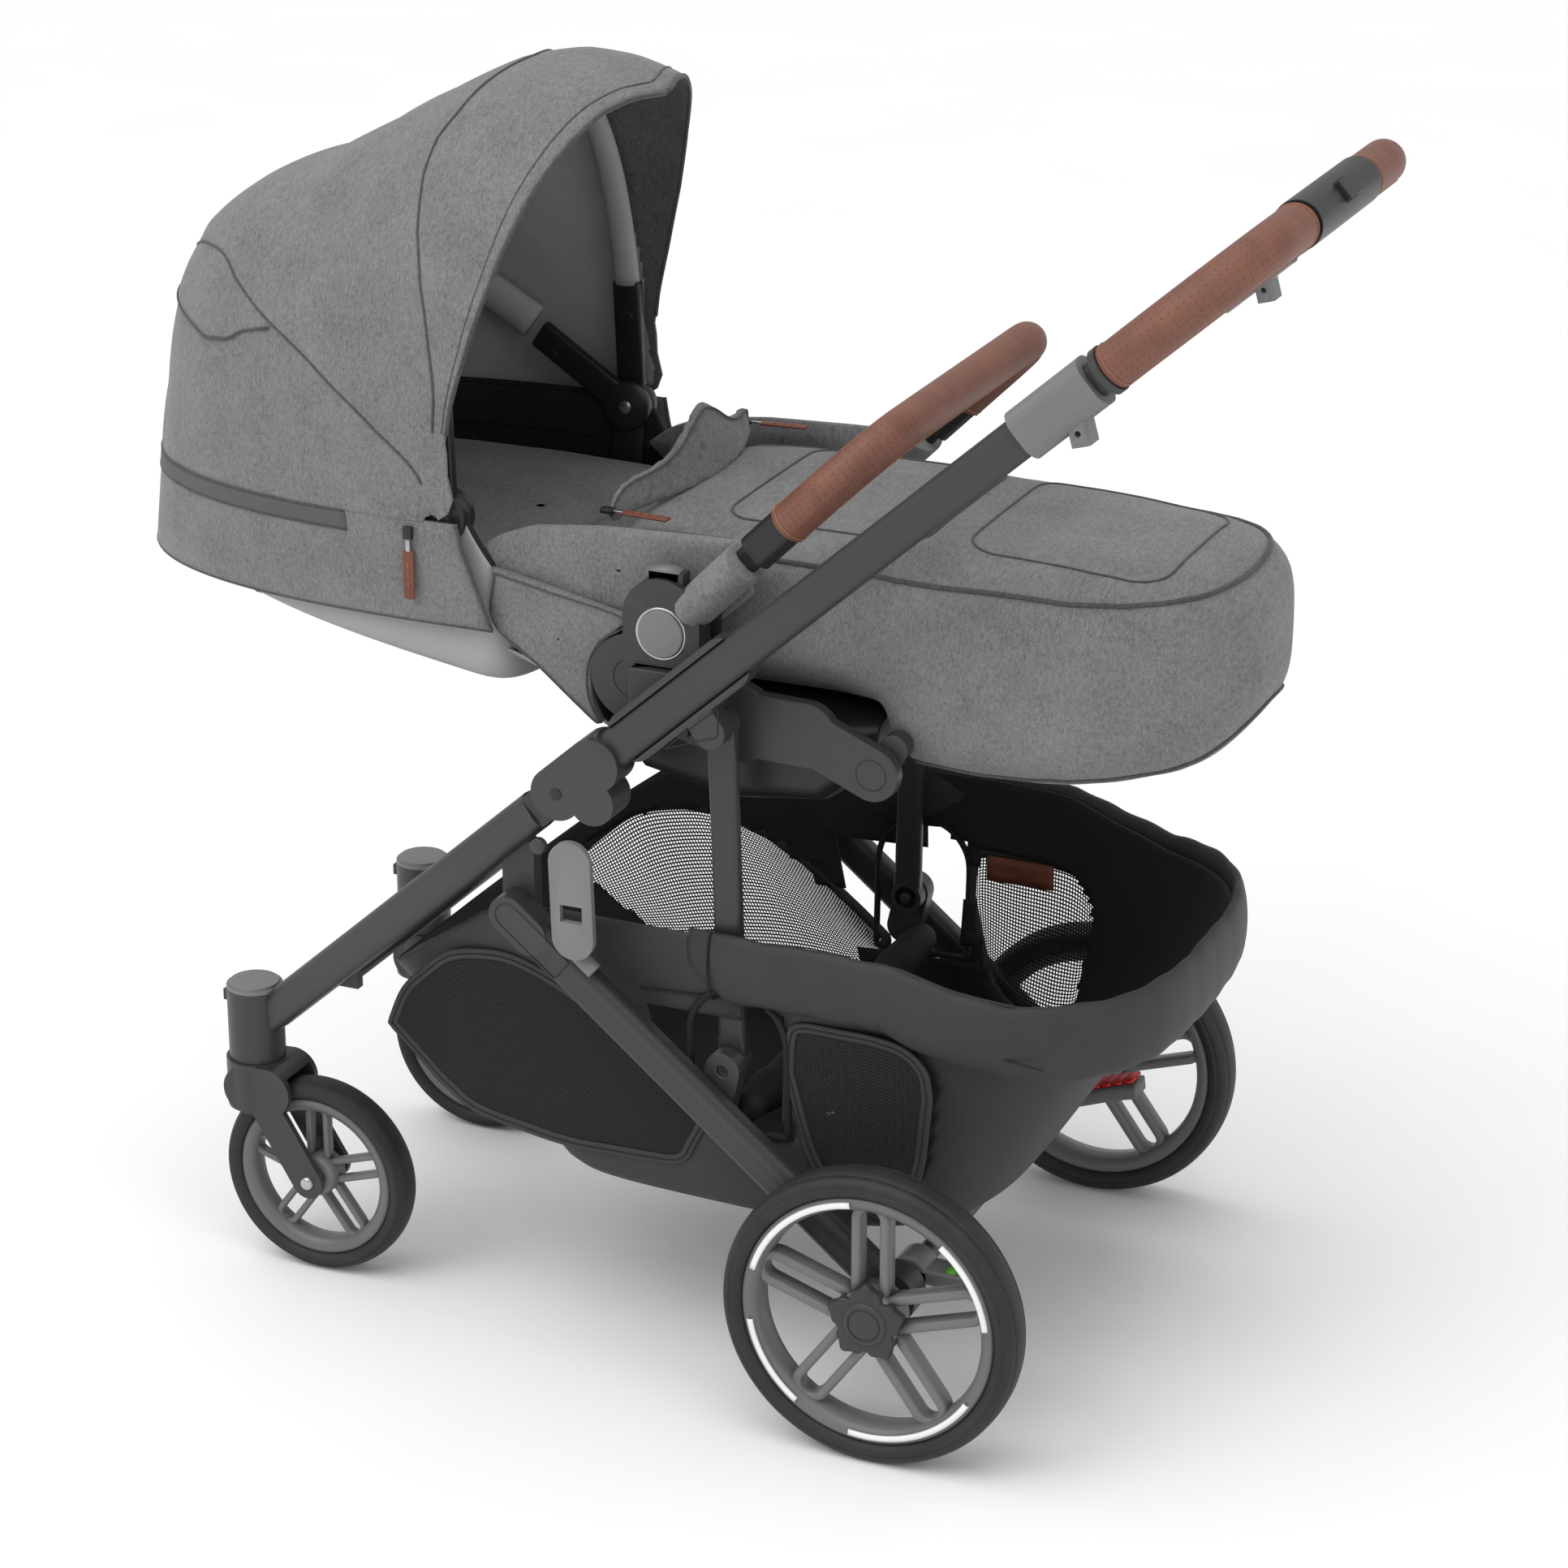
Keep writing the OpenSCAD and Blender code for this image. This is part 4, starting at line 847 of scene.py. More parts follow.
def head_shell():
    outside = [tub_ring(0, 0, 652, 0.16, k) for k in (0.02, 0.3, 0.6, 0.8, 0.9, 0.96)]
    outside += [tub_ring(f, 0, 652, 0.16) for f in (0.06, 0.2, 0.4, 0.6, 0.8, 0.96, 1.0)]
    rim = [tub_ring(1.0, 3, 652, 0.16) + [0, 0, 1.5], tub_ring(1.0, 6, 652, 0.16)]
    inside = [tub_ring(f, 7, 662, 0.03) for f in (0.9, 0.6, 0.3, 0.1)]
    inside += [tub_ring(0, 8, 662, 0.03, k) for k in (0.96, 0.7, 0.3, 0.02)]
    rings = np.array(outside + rim + inside)
    shell = add_grid("head_shell", at(rings), "lining", wrap_cols=True)
    shell.data.materials.append(MATERIALS["black_cloth"])
    cut = len(outside) + 1
    for poly in shell.data.polygons:
        if min(v // 120 for v in poly.vertices) >= cut - 1:
            poly.material_index = 1
    place(shell, "seat_back", "black_fabric", "head_tub")
    trims = []
    for f, t, z, slope, r in ((1.0, 4, 652, 0.16, 3.0), (0.55, 8.2, 662, 0.03, 0.9)):
        ring = tub_ring(f, t, z, slope)
        trims.append(tube("edge", at(ring), r * MM, "black_cloth", 8, closed=True))
    place(join("head_shell_trim", trims), "seat_back", "black_fabric")


def mattress():
    levels = [(0.86, 0), (0.95, 2), (0.985, 7), (1.0, 14), (1.0, 20), (0.985, 27), (0.95, 31), (0.85, 33.5), (0.6, 35), (0.3, 36), (0.02, 36)]
    rings = []
    for fill, lift in levels:
        x, y = tub_outline(13, fill)
        z = 662 + lift - (x + 448) * 0.03
        p = np.stack([x, y, z], axis=1)
        if lift > 30:
            p[:, 2] += ripple(p, 90, 11) * 0.8
        rings.append(p)
    bottom = [np.stack([*tub_outline(13, 0.02), np.full(120, 662.0)], axis=1)]
    pad = add_grid("mattress_pad", at(np.array(bottom + rings)), "twill_light", wrap_cols=True)
    place(pad, "seat_back", "lining", "mattress")


# ---------------------------------------------------------------- foot cover

BOOT_SECTIONS = [
    # x, half width, bottom, top
    (8, 151, 612, 728), (14, 154, 606, 732), (60, 156, 603, 735), (120, 157, 603, 735), (200, 157, 603, 734.5),
    (250, 157, 598, 734), (262, 157, 560, 734), (275, 157, 548, 734), (330, 158, 545, 732.5), (380, 156.5, 547, 732),
    (410, 153, 550, 731), (440, 146, 555, 730), (460, 139, 560, 729), (485, 126, 566, 726.5), (505, 107, 575, 722),
    (520, 85, 590, 715), (529, 64, 606, 706), (536, 40, 622, 694),
]


def boot_ring(x, half, low, high, t, count=88):
    a = (np.arange(count) + 0.5) * 2 * math.pi / count
    y = (half - t) * power(np.cos(a), 4.5)
    z = (low + high) / 2 + ((high - low) / 2 - t) * power(np.sin(a), 4.5)
    return np.stack([np.full(count, float(x)), y, z], axis=1)


def boot_sections(t, shrink_last):
    table = np.array(BOOT_SECTIONS, float)
    xs = np.unique(np.concatenate([np.arange(8, 530, 9.0), table[:, 0]]))
    if shrink_last:
        xs = xs[xs < 472]
    return [boot_ring(x, *(np.interp(x, table[:, 0], table[:, k]) for k in (1, 2, 3)), t) for x in xs]


def inflate(obj, cell=6.0, pressure=3.5, frames=10, cap=6.0):
    """Turns a closed shape into a stuffed one: even mesh, a short cloth simulation, smoothing."""
    modify(obj, "REMESH", mode="VOXEL", voxel_size=cell * MM)
    apply_modifiers(obj)
    start = np.empty(len(obj.data.vertices) * 3)
    obj.data.vertices.foreach_get("co", start)
    cloth = modify(obj, "CLOTH")
    cloth.settings.use_pressure = True
    cloth.settings.uniform_pressure_force = pressure
    cloth.settings.effector_weights.gravity = 0
    cloth.settings.quality = 5
    cloth.settings.mass = 0.3
    cloth.settings.tension_stiffness = cloth.settings.compression_stiffness = 25
    cloth.settings.bending_stiffness = 3
    cloth.collision_settings.use_collision = False
    cloth.collision_settings.use_self_collision = False
    cloth.point_cache.frame_start, cloth.point_cache.frame_end = 1, frames
    scene = bpy.context.scene
    for f in range(1, frames + 1):
        scene.frame_set(f)
    apply_modifiers(obj)
    scene.frame_set(1)
    end = np.empty_like(start)
    obj.data.vertices.foreach_get("co", end)
    move = (end - start).reshape(-1, 3)
    far = np.linalg.norm(move, axis=1, keepdims=True)
    limit = cap * MM
    move *= np.minimum(1, limit / np.maximum(far, 1e-9))
    obj.data.vertices.foreach_set("co", (start.reshape(-1, 3) + move).ravel())
    obj.data.update()
    modify(obj, "SMOOTH", factor=0.5, iterations=10)
    modify(obj, "SUBSURF", levels=1, render_levels=1)
    apply_modifiers(obj)
    obj.data.polygons.foreach_set("use_smooth", [True] * len(obj.data.polygons))
    return obj


def bend_boot(obj):
    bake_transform(obj)
    return obj


def boot():
    outer = boot_sections(0, False)
    inner = boot_sections(9, True)[::-1]
    boot_ = add_grid("foot_cover", at(np.array(outer + inner)), "twill_object", wrap_cols=True)
    close_ends(boot_, 88, (len(outer) - 1, len(outer)), True)
    inflate(boot_)
    boot_.data.materials.clear()
    boot_.data.materials.append(MATERIALS["twill_object"])
    bend_boot(boot_)
    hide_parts("boot_body", "boot_foot")
    trims = []
    surface = BVHTree.FromObject(boot_, bpy.context.evaluated_depsgraph_get())

    def snapped(points, lift=0.4):
        """The points moved onto the stuffed cover, a little proud of it."""
        out = []
        for p in at(points):
            place_, normal = surface.find_nearest(Vector(p))[:2]
            out.append(place_ + normal * lift * MM)
        return np.array(out)

    # stitched panels on the lid, piping round its edge and along the bottom
    for x0, x1, half, r in ((92, 268, 104, 24), (300, 470, 100, 30)):
        loop = []
        for cx, cy, t0 in ((x1 - r, half - r, 0), (x0 + r, half - r, 90), (x0 + r, -half + r, 180), (x1 - r, -half + r, 270)):
            for t in np.linspace(t0, t0 + 90, 9):
                x, y = cx + r * math.cos(math.radians(t)), cy + r * math.sin(math.radians(t))
                loop.append((x, y, 742))
        trims.append(tube("panel", snapped(even_loop(loop, 6)), 1.1 * MM, "seam", 6, closed=True))
    edge = [(x, 150, 733) for x in range(20, 400, 12)]
    edge += [(412, 147, 732), (440, 138, 731), (466, 124, 729), (488, 104, 726), (504, 78, 723), (512, 44, 721), (514, 14, 720)]
    edge = edge + mirrored(edge[::-1])
    trims.append(tube("lid_piping", snapped(smooth_path(edge, 300), 1.0), 2.2 * MM, "seam", 8))
    low = [(272, 152, 549), (330, 152, 547), (390, 149, 551), (440, 138, 560), (478, 120, 571), (504, 94, 584), (522, 60, 600), (530, 20, 608)]
    low = low + mirrored(low[::-1])
    trims.append(tube("low_piping", snapped(smooth_path(low, 200), 0.6), 1.8 * MM, "seam", 8))
    for s in (1, -1):
        zips = [(x, s * 137, 740) for x in range(10, 132, 6)]
        trims.append(sweep("zip", snapped(zips, 0.3), np.array([(-3.5, -1), (3.5, -1), (3.5, 1.2), (-3.5, 1.2)]) * MM, "zip"))
    bend_boot(join("foot_cover_trim", trims))
    for s, side in ((-1, "left"), (1, "right")):
        zip_pull("foot_zip_" + side, (4, s * 137, 741.5), (1, s * 0.08, 0), (0, 0, 1), "seat_base")


def even_loop(points, step):
    return even_path(np.vstack([points, points[:1]]), step)[:-1]


def close_ends(obj, count, outer_inner, join_first):
    """Closes a wrapped grid: its last outer ring and first inner ring get lids, its two ends meet."""
    bm = bmesh.new()
    bm.from_mesh(obj.data)
    bm.verts.ensure_lookup_table()
    a, b = outer_inner
    for f in [f for f in bm.faces if {v.index // count for v in f.verts} == {a, b}]:
        bm.faces.remove(f)
    bm.faces.new([bm.verts[a * count + j] for j in range(count)])
    bm.faces.new([bm.verts[b * count + j] for j in range(count)][::-1])
    last = len(bm.verts) // count - 1
    for j in range(count):
        k = (j + 1) % count
        bm.faces.new([bm.verts[last * count + j], bm.verts[last * count + k], bm.verts[k], bm.verts[j]])
    bmesh.ops.recalc_face_normals(bm, faces=bm.faces)
    bm.to_mesh(obj.data)
    bm.free()


def collar_flap():
    """The turned-up flap at the child's chest, taller in its middle."""
    rows = []
    for t in np.linspace(0, 1, 14):
        y = np.linspace(-137, 137, 60)
        k = np.abs(y / 137)
        height = 26 + 26 * np.exp(-((y / 42) ** 2)) + 10 * (1 - k)
        base_x = 6 + 34 * (1 - k ** 2)
        x = base_x - 13 * t * (1 - k) - 4 * t
        z = np.interp(k, [0, 0.8, 1], [737, 735, 730]) + height * t
        end = np.clip((1 - k) * 9, 0, 1) ** 0.5
        z = 730 + (z - 730) * (0.25 + 0.75 * end)
        rows.append(np.stack([x, y, z], axis=1))
    flap = add_grid("chest_flap", at(rows), "twill_object")
    modify(flap, "SOLIDIFY", thickness=7 * MM, offset=0)
    apply_modifiers(flap)
    inflate(flap, 3.5, 2.0, 6, 2.0)
    flap.data.materials.clear()
    flap.data.materials.append(MATERIALS["twill_object"])
    place(flap, "seat_base", "grey_fabric")
    hem = tube("chest_flap_hem", at(np.array(rows)[-2] + [4.6, 0, 0]), 0.9 * MM, "seam", 6)
    place(hem, "seat_base", "grey_fabric")


# ---------------------------------------------------------------- seat sides and underside

def filled_panel(name, outline, y, material, depth=6.0, crown=4.0, cell=9.0):
    """A padded side panel: outline in (x, z), its face domed outwards, y on the left-hand side."""
    outline = even_path(side_points(np.vstack([outline, outline[:1]]), 0), cell)[:-1][:, [0, 2]]
    centre = outline.mean(axis=0)
    rings = []
    for k, bulge in ((1.0, 0), (0.985, 0.55), (0.95, 0.8), (0.85, 0.93), (0.65, 0.98), (0.4, 1), (0.02, 1)):
        p = centre + (outline - centre) * k
        rings.append(side_points(p, y - bulge * crown - depth / 2 + (ripple(side_points(p, 0), 70, 21) * 0.5 if bulge > 0.9 else 0)))
    rings = rings[::-1]
    rings += [side_points(centre + (outline - centre) * k, y + depth / 2) for k in (0.98, 0.5, 0.02)]
    obj = add_grid(name, at(np.array(rings)), material, wrap_cols=True)
    return obj


def seat_sides():
    upper = [(-104, 702), (-80, 719), (-50, 731), (12, 738), (90, 741), (141, 742), (150, 700), (120, 672), (60, 652), (38, 667), (-24, 677), (-88, 688)]
    lower = [(-82, 694), (-30, 684), (46, 668), (20, 644), (8, 618), (9, 590), (18, 568), (-2, 582), (-40, 613), (-84, 648)]
    for side, s in SIDES.items():
        for name, outline, y in (("seat_wing_" + side, upper, -166), ("seat_side_" + side, lower, -176)):
            panel = filled_panel(name, np.array(outline, float), y, "twill_object")
            if s > 0:
                panel.data.transform(Matrix.Scale(-1, 4, (0, 1, 0)))
                panel.data.flip_normals()
            if name.startswith("seat_wing"):
                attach(panel, "seat_base")
            else:
                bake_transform(panel)
        seam_path = side_points(np.array(lower + lower[:1], float) * 0.93 + np.array([-22, 643]) * 0.07, s * 183.6)
        seam = tube("seat_side_seam_" + side, at(smooth_path(seam_path, 110)), 0.8 * MM, "seam", 6)
        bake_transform(seam)

    # smooth cloth sling from under the head end to the seat shell
    line = smooth_path([(-300, 0, 628), (-200, 0, 612), (-120, 0, 600), (-56, 0, 586), (-10, 0, 556), (24, 0, 532), (60, 0, 518)], 50)
    rows = []
    for x, _, z in line:
        y = np.linspace(-1, 1, 30)
        half = np.interp(x, [-300, -200, 0, 60], [120, 165, 172, 160])
        rows.append(np.stack([np.full(30, x), y * half, z + 34 * np.abs(y) ** 5 * np.interp(x, [-300, 60], [0.6, 1])], axis=1))
    sling = add_grid("seat_sling", at(rows), "lining")
    thicken(sling, 2 * MM, 0)
    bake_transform(sling)
    lid = [(-70, 0, 676), (-20, 0, 673), (40, 0, 668), (120, 0, 664)]
    bed = add_grid("seat_bed", at([np.stack([np.full(24, x), np.linspace(-154, 154, 24), np.full(24, float(z))], axis=1) for x, _, z in smooth_path(lid, 16)]), "twill_light")
    thicken(bed, 6 * MM, -1)
    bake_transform(bed)


# ---------------------------------------------------------------- leather bars

def u_path(foot, slope, s0, s1, half, bend, step=5.0):
    """Half a U of bar on the left-hand side, from its arm round to the middle of its crossbar."""
    c, s = math.cos(slope), math.sin(slope)
    local = [(t, -half) for t in np.linspace(s0, s1, 30)]
    local += [(s1 + bend * math.sin(a), -half + bend - bend * math.cos(a)) for a in np.linspace(0.06, math.pi / 2, 16)]
    local += [(s1 + bend, y) for y in np.linspace(-half + bend, 0, 20)[1:]]
    p = np.array([(foot[0] + c * d, y, foot[1] + s * d) for d, y in local])
    return even_path(p, step)


TUBE_SLOPE = math.radians(41.54)
BUMPER_SLOPE = math.atan2(842 - 700, 262 - 118)


# Distance of the handle's crossbar from the fold hinge, and the radius of its corners
CROSSBAR, HANDLE_BEND = 742, 93


def leather_bars():
    for side, s in SIDES.items():
        path = u_path((5, 530), TUBE_SLOPE, 616.4, CROSSBAR - HANDLE_BEND, 226, HANDLE_BEND)
        path = path[path[:, 1] < -79]
        path[:, 1] *= -s
        grip = sweep("grip_leather_" + side, at(path), circle_section(18.5 * MM, 32), "leather", up=(-math.sin(TUBE_SLOPE), 0, math.cos(TUBE_SLOPE)))
        modify(grip, "BEVEL", width=1.2 * MM, segments=2, limit_method="ANGLE", angle_limit=math.radians(50))
        place(grip, "handle", "leather", "handle_grip_" + side)
        lower = path.copy()
        lower = lower + np.array([math.sin(TUBE_SLOPE), 0, -math.cos(TUBE_SLOPE)]) * 18.4
        stitches = [tube("seam", at(lower), 0.8 * MM, "thread", 6)]
        stitches += [ring_round(path, k, 18.7, 0.6, "thread") for k in (1, -2)]
        place(join("grip_stitching_" + side, stitches), "handle", "leather")

    half = u_path((118, 700), BUMPER_SLOPE, 97, 202.2 - 62, 190, 62)
    path = np.vstack([half, mirrored(half[::-1][1:])])
    grip = sweep("bumper_leather", at(path), circle_section(17 * MM, 32), "leather", up=(-math.sin(BUMPER_SLOPE), 0, math.cos(BUMPER_SLOPE)))
    modify(grip, "BEVEL", width=1.2 * MM, segments=2, limit_method="ANGLE", angle_limit=math.radians(50))
    place(grip, "bumper", "leather", "bumper_grip")
    stitches = [ring_round(path, k, 17.2, 0.7, "thread") for k in (1, -2)]
    lower = path + np.array([math.sin(BUMPER_SLOPE), 0, -math.cos(BUMPER_SLOPE)]) * 16.9
    stitches.append(tube("seam", at(lower), 0.8 * MM, "thread", 6))
    place(join("bumper_stitching", stitches), "bumper", "leather")


def ring_round(path, index, r, thin, material):
    """A thin ring of thread round a bar at one point of its path."""
    p = np.asarray(path, float)
    ahead = p[min(index + 1, len(p) - 1) if index >= 0 else index + 1] - p[index - 1 if index > 0 else index - 1]
    ahead /= np.linalg.norm(ahead)
    side = np.cross(ahead, (0, 0.2, 1))
    side /= np.linalg.norm(side)
    lift = np.cross(side, ahead)
    t = np.linspace(0, 2 * math.pi, 40, endpoint=False)[:, None]
    return tube("ring", at(p[index] + r * (np.cos(t) * side + np.sin(t) * lift)), thin * MM, material, 6, closed=True, up=tuple(ahead))


# ---------------------------------------------------------------- basket

RIM_TABLE = ([-240, -175, -95, -20, 219, 290, 335, 390, 487], [276, 330, 388, 408, 413, 411, 396, 384, 384])
WIDTH_TABLE = ([-240, -120, 0, 150, 487], [150, 185, 203, 211, 211])


def basket_ring(f, t=0.0, lift=0.0, count=220):
    a = (np.arange(count) + 0.5) * 2 * math.pi / count
    n = np.where(np.cos(a) > 0, 3.2, 5.5)
    u, v = power(np.cos(a), n), power(np.sin(a), n)
    top_x = 125.5 + 361.5 * u
    low_x = 146.5 + 198.5 * u
    x = low_x + (top_x - low_x) * f
    y = np.interp(x, *WIDTH_TABLE) * (0.94 + 0.06 * f) * v
    z = 160 + lift + (np.interp(top_x, *RIM_TABLE) - 160 - lift) * f
    return np.stack([x - t * u, y - t * v, z], axis=1)


def wall_y(x, z):
    """Half the basket's width at a point of its side wall."""
    f = np.clip((np.asarray(z, float) - 160) / (np.interp(x, *RIM_TABLE) - 160), 0, 1)
    return np.interp(x, *WIDTH_TABLE) * (0.94 + 0.06 * f)


WINDOWS = {
    "front": ([(-203, 252), (-185, 288), (-160, 314), (-132, 337), (-100, 347), (-63, 349), (-14, 335), (36, 308), (82, 274), (117, 245)],
              [(-150, 214), (-112, 196), (-60, 190), (-20, 188), (20, 190), (60, 192), (84, 194), (96, 200), (104, 215), (112, 230)]),
    "rear": ([(196, 300), (198, 330), (206, 343), (240, 344), (275, 343), (300, 337), (315, 322), (319, 300)],
             [(205, 262), (212, 236), (222, 214), (240, 196), (262, 186), (282, 184), (300, 196), (312, 240)]),
}


def inside(points, polygon):
    x, z = points
    hit = False
    for (x0, z0), (x1, z1) in zip(polygon, polygon[1:] + polygon[:1]):
        if (z0 > z) != (z1 > z) and x < (x1 - x0) * (z - z0) / (z1 - z0) + x0:
            hit = not hit
    return hit


def basket():
    levels = np.linspace(0, 1, 46)
    rings = [basket_ring(0, 6, 1.5) * [k, k, 1] + [146.5 * (1 - k), 0, 0] for k in (0.02, 0.4, 0.8, 0.97)]
    rings += [basket_ring(f, 0.8 if f else 3, 1.5) for f in levels]
    shell = add_grid("basket_cloth", at(np.array(rings)), "coated", wrap_cols=True)
    polygons = [top + bottom[::-1] for top, bottom in WINDOWS.values()]
    arch = [(106, 236), (194, 236)] + [(150 + 44 * math.cos(a), 322 + 44 * math.sin(a)) for a in np.linspace(0, math.pi, 20)]
    polygons.append(arch)
    bm = bmesh.new()
    bm.from_mesh(shell.data)
    gone = []
    for f in bm.faces:
        c = f.calc_center_median()
        x, z = (c.x - X0) / MM, c.z / MM
        wall = abs(c.y) / MM > 0.85 * np.interp(x, *WIDTH_TABLE)
        if wall and any(inside((x, z), p) for p in polygons[1 if c.y < 0 else 0:]):
            gone.append(f)
    bmesh.ops.delete(bm, geom=gone, context="FACES")
    bm.to_mesh(shell.data)
    bm.free()
    thicken(shell, 1.6 * MM, -1, inner="black_cloth")
    place(shell, "rear_frame", "black_fabric", "basket")

    for side, s in SIDES.items():
        borders = []
        for name, (top, bottom) in WINDOWS.items():
            a, b = (smooth_path([(x, 0, z) for x, z in line], 60)[:, [0, 2]] for line in (top, bottom))
            rows = []
            for t in np.linspace(0, 1, 24):
                p = a + (b - a) * t
                rows.append(side_points(p, s * (wall_y(p[:, 0], p[:, 1]) - 0.4)))
            close = ("ribbed" if name == "front" else "net_close") if side == "left" else "net"
            net = add_grid("basket_net_%s_%s" % (name, side), at(np.array(rows)), close)
            thicken(net, 0.5 * MM, 0)
            place(net, "rear_frame", "black_fabric")
            loop = even_loop(np.vstack([rows[0], np.array(rows)[:, -1], rows[-1][::-1], np.array(rows)[::-1, 0]]), 4)
            borders.append(ribbon("border", loop, 9, "coated", s))
            inner = tube("border_seam", at(loop + [0, s * 1.6, 0]), 0.8 * MM, "black_cloth", 6, closed=True)
            borders.append(inner)
        line = [(106, 238)] + [(150 - 44 * math.cos(a), 322 + 44 * math.sin(a)) for a in np.linspace(0, math.pi, 30)] + [(194, 238), (150, 236)]
        p = np.array(line, float)
        loop = even_loop(side_points(p, s * (wall_y(p[:, 0], p[:, 1]))), 4)
        borders.append(tube("arch_piping", at(loop), 3.0 * MM, "black_cloth", 10, closed=True))
        x = np.linspace(60, 420, 80)
        z = np.interp(x, [60, 108, 198, 363, 420], [352, 355, 364, 352, 346])
        borders.append(tube("rim_seam", at(side_points(np.stack([x, z], 1), s * (wall_y(x, z) + 0.9))), 0.9 * MM, "black_cloth", 6))
        place(join("basket_trim_" + side, borders), "rear_frame", "black_fabric")
    # corner pocket, cloth patch and padded tube inside
    rows = []
    for t in np.linspace(0, 1, 20):
        x = np.linspace(330, 420, 24)
        z = 230 + (96 + 18 * (x - 330) / 90) * t
        y = 196 - 46 * ((x - 330) / 90) ** 2 - 10 * math.sin(math.pi * t)
        rows.append(np.stack([x - 12 * (1 - t), y, z], axis=1))
    pocket = add_grid("basket_pocket", at(np.array(rows)), "ribbed")
    thicken(pocket, 1.2 * MM, 0)
    place(pocket, "rear_frame", "black_fabric")
    patch_x = np.linspace(212, 276, 9)
    patch = add_grid("basket_patch", at([side_points([(x, z) for x in patch_x], 203.5) for z in np.linspace(318, 342, 4)]), "leather_plain")
    thicken(patch, 1.6 * MM, 0)
    place(patch, "rear_frame", "leather")
    pad_path = [(154, y, 253 + 2 * math.cos(y / 30)) for y in np.linspace(-196, 196, 60)]
    radii = np.array([13 + 4 * min(1, (196 - abs(p[1])) / 40) + 0.8 * math.sin(p[1] / 9) for p in pad_path])
    section = np.array([circle_section(r * MM, 20) for r in radii])
    pad = sweep("cross_tube_pad", at(pad_path), section, "black_cloth")
    place(pad, "rear_frame", "black_fabric", "rear_cross_tube")


def ribbon(name, loop, width, material, s):
    """A flat band along a closed line on a side wall, covering the edge of a net on both faces."""
    ahead = np.roll(loop, -1, axis=0) - np.roll(loop, 1, axis=0)
    ahead /= np.linalg.norm(ahead, axis=1, keepdims=True)
    across = np.cross(ahead, (0, 1, 0))
    across /= np.linalg.norm(across, axis=1, keepdims=True)
    rows = [loop + across * k * width / 2 + [0, s * h, 0] for k, h in ((-1, -1.6), (-1, 1.3), (-0.6, 1.7), (0.6, 1.7), (1, 1.3), (1, -1.6), (0, -2.2))]
    obj = add_grid(name, at(np.array(rows).transpose(1, 0, 2)), material, wrap_rows=True, wrap_cols=True)
    return obj


def basket_pad():
    """The padded edge round the basket's back and sides, behind the rear legs."""
    a = np.radians(np.linspace(-112, 112, 240))
    u, v = power(np.cos(a), 3.2), power(np.sin(a), 3.2)
    x = 240 + 247 * u
    path = np.stack([x, (np.interp(x, *WIDTH_TABLE) + 5) * v, np.interp(x, *RIM_TABLE) + 0], axis=1)
    path = even_path(path, 6)
    n = len(path)
    section = []
    for i in range(n):
        t = min(i, n - 1 - i) / 6
        k = min(1.0, 0.55 + 0.45 * t) if t < 1 else 1.0
        wrinkle = 1 + 0.02 * math.sin(i * 0.9) + 0.02 * math.sin(i * 0.37)
        back = np.clip((path[i, 0] - 330) / 120, 0, 1)
        ring_ = []
        for j in range(22):
            w = 2 * math.pi * j / 22
            ring_.append((8.5 * wrinkle * math.cos(w) * k, (-24 + (30 + 4 * back) * math.sin(w) * wrinkle) * k))
        section.append(np.array(ring_) * MM)
    pad = sweep("basket_rim_pad", at(path), np.array(section), "coated")
    place(pad, "rear_frame", "black_fabric", "basket_rim")
    trims = []
    for index in (4, n - 5):
        loop = [(8.9 * math.cos(w), -24 + 31 * math.sin(w)) for w in np.linspace(0, 2 * math.pi, 40, endpoint=False)]
        ahead = path[index + 1] - path[index - 1]
        side = np.cross(ahead, (0, 0, 1))
        side /= np.linalg.norm(side)
        lift = np.cross(side, ahead / np.linalg.norm(ahead))
        ring_ = [path[index] + side * c + lift * d for c, d in loop]
        trims.append(tube("piping", at(ring_), 1.0 * MM, "black_cloth", 6, closed=True, up=tuple(ahead)))
    place(join("basket_pad_piping", trims), "rear_frame", "black_fabric")


# ---------------------------------------------------------------- wheels and pedals

def spoke(name, centre, angle, inner, outer, gap, width, depth, material):
    """A looped spoke: two rails joined by a round end near the rim."""
    r = gap / 2
    local = [(t, -r) for t in np.linspace(inner, outer - r, 8)]
    local += [(outer - r + r * math.sin(a), -r * math.cos(a)) for a in np.linspace(0.15, math.pi - 0.15, 13)]
    local += [(t, r) for t in np.linspace(outer - r, inner, 8)]
    c, s = math.cos(angle), math.sin(angle)
    path = [(centre[0] + c * d - s * e, centre[1], centre[2] + s * d + c * e) for d, e in local]
    h, w = depth / 2, width / 2
    section = np.array([(w, -h + 2), (w - 1.5, -h), (-w + 1.5, -h), (-w, -h + 2), (-w + 0.6, h - 2), (-w + 1.8, h), (w - 1.8, h), (w - 0.6, h - 2)]) * MM
    return sweep(name, at(path), section, material, up=(0, 1, 0))


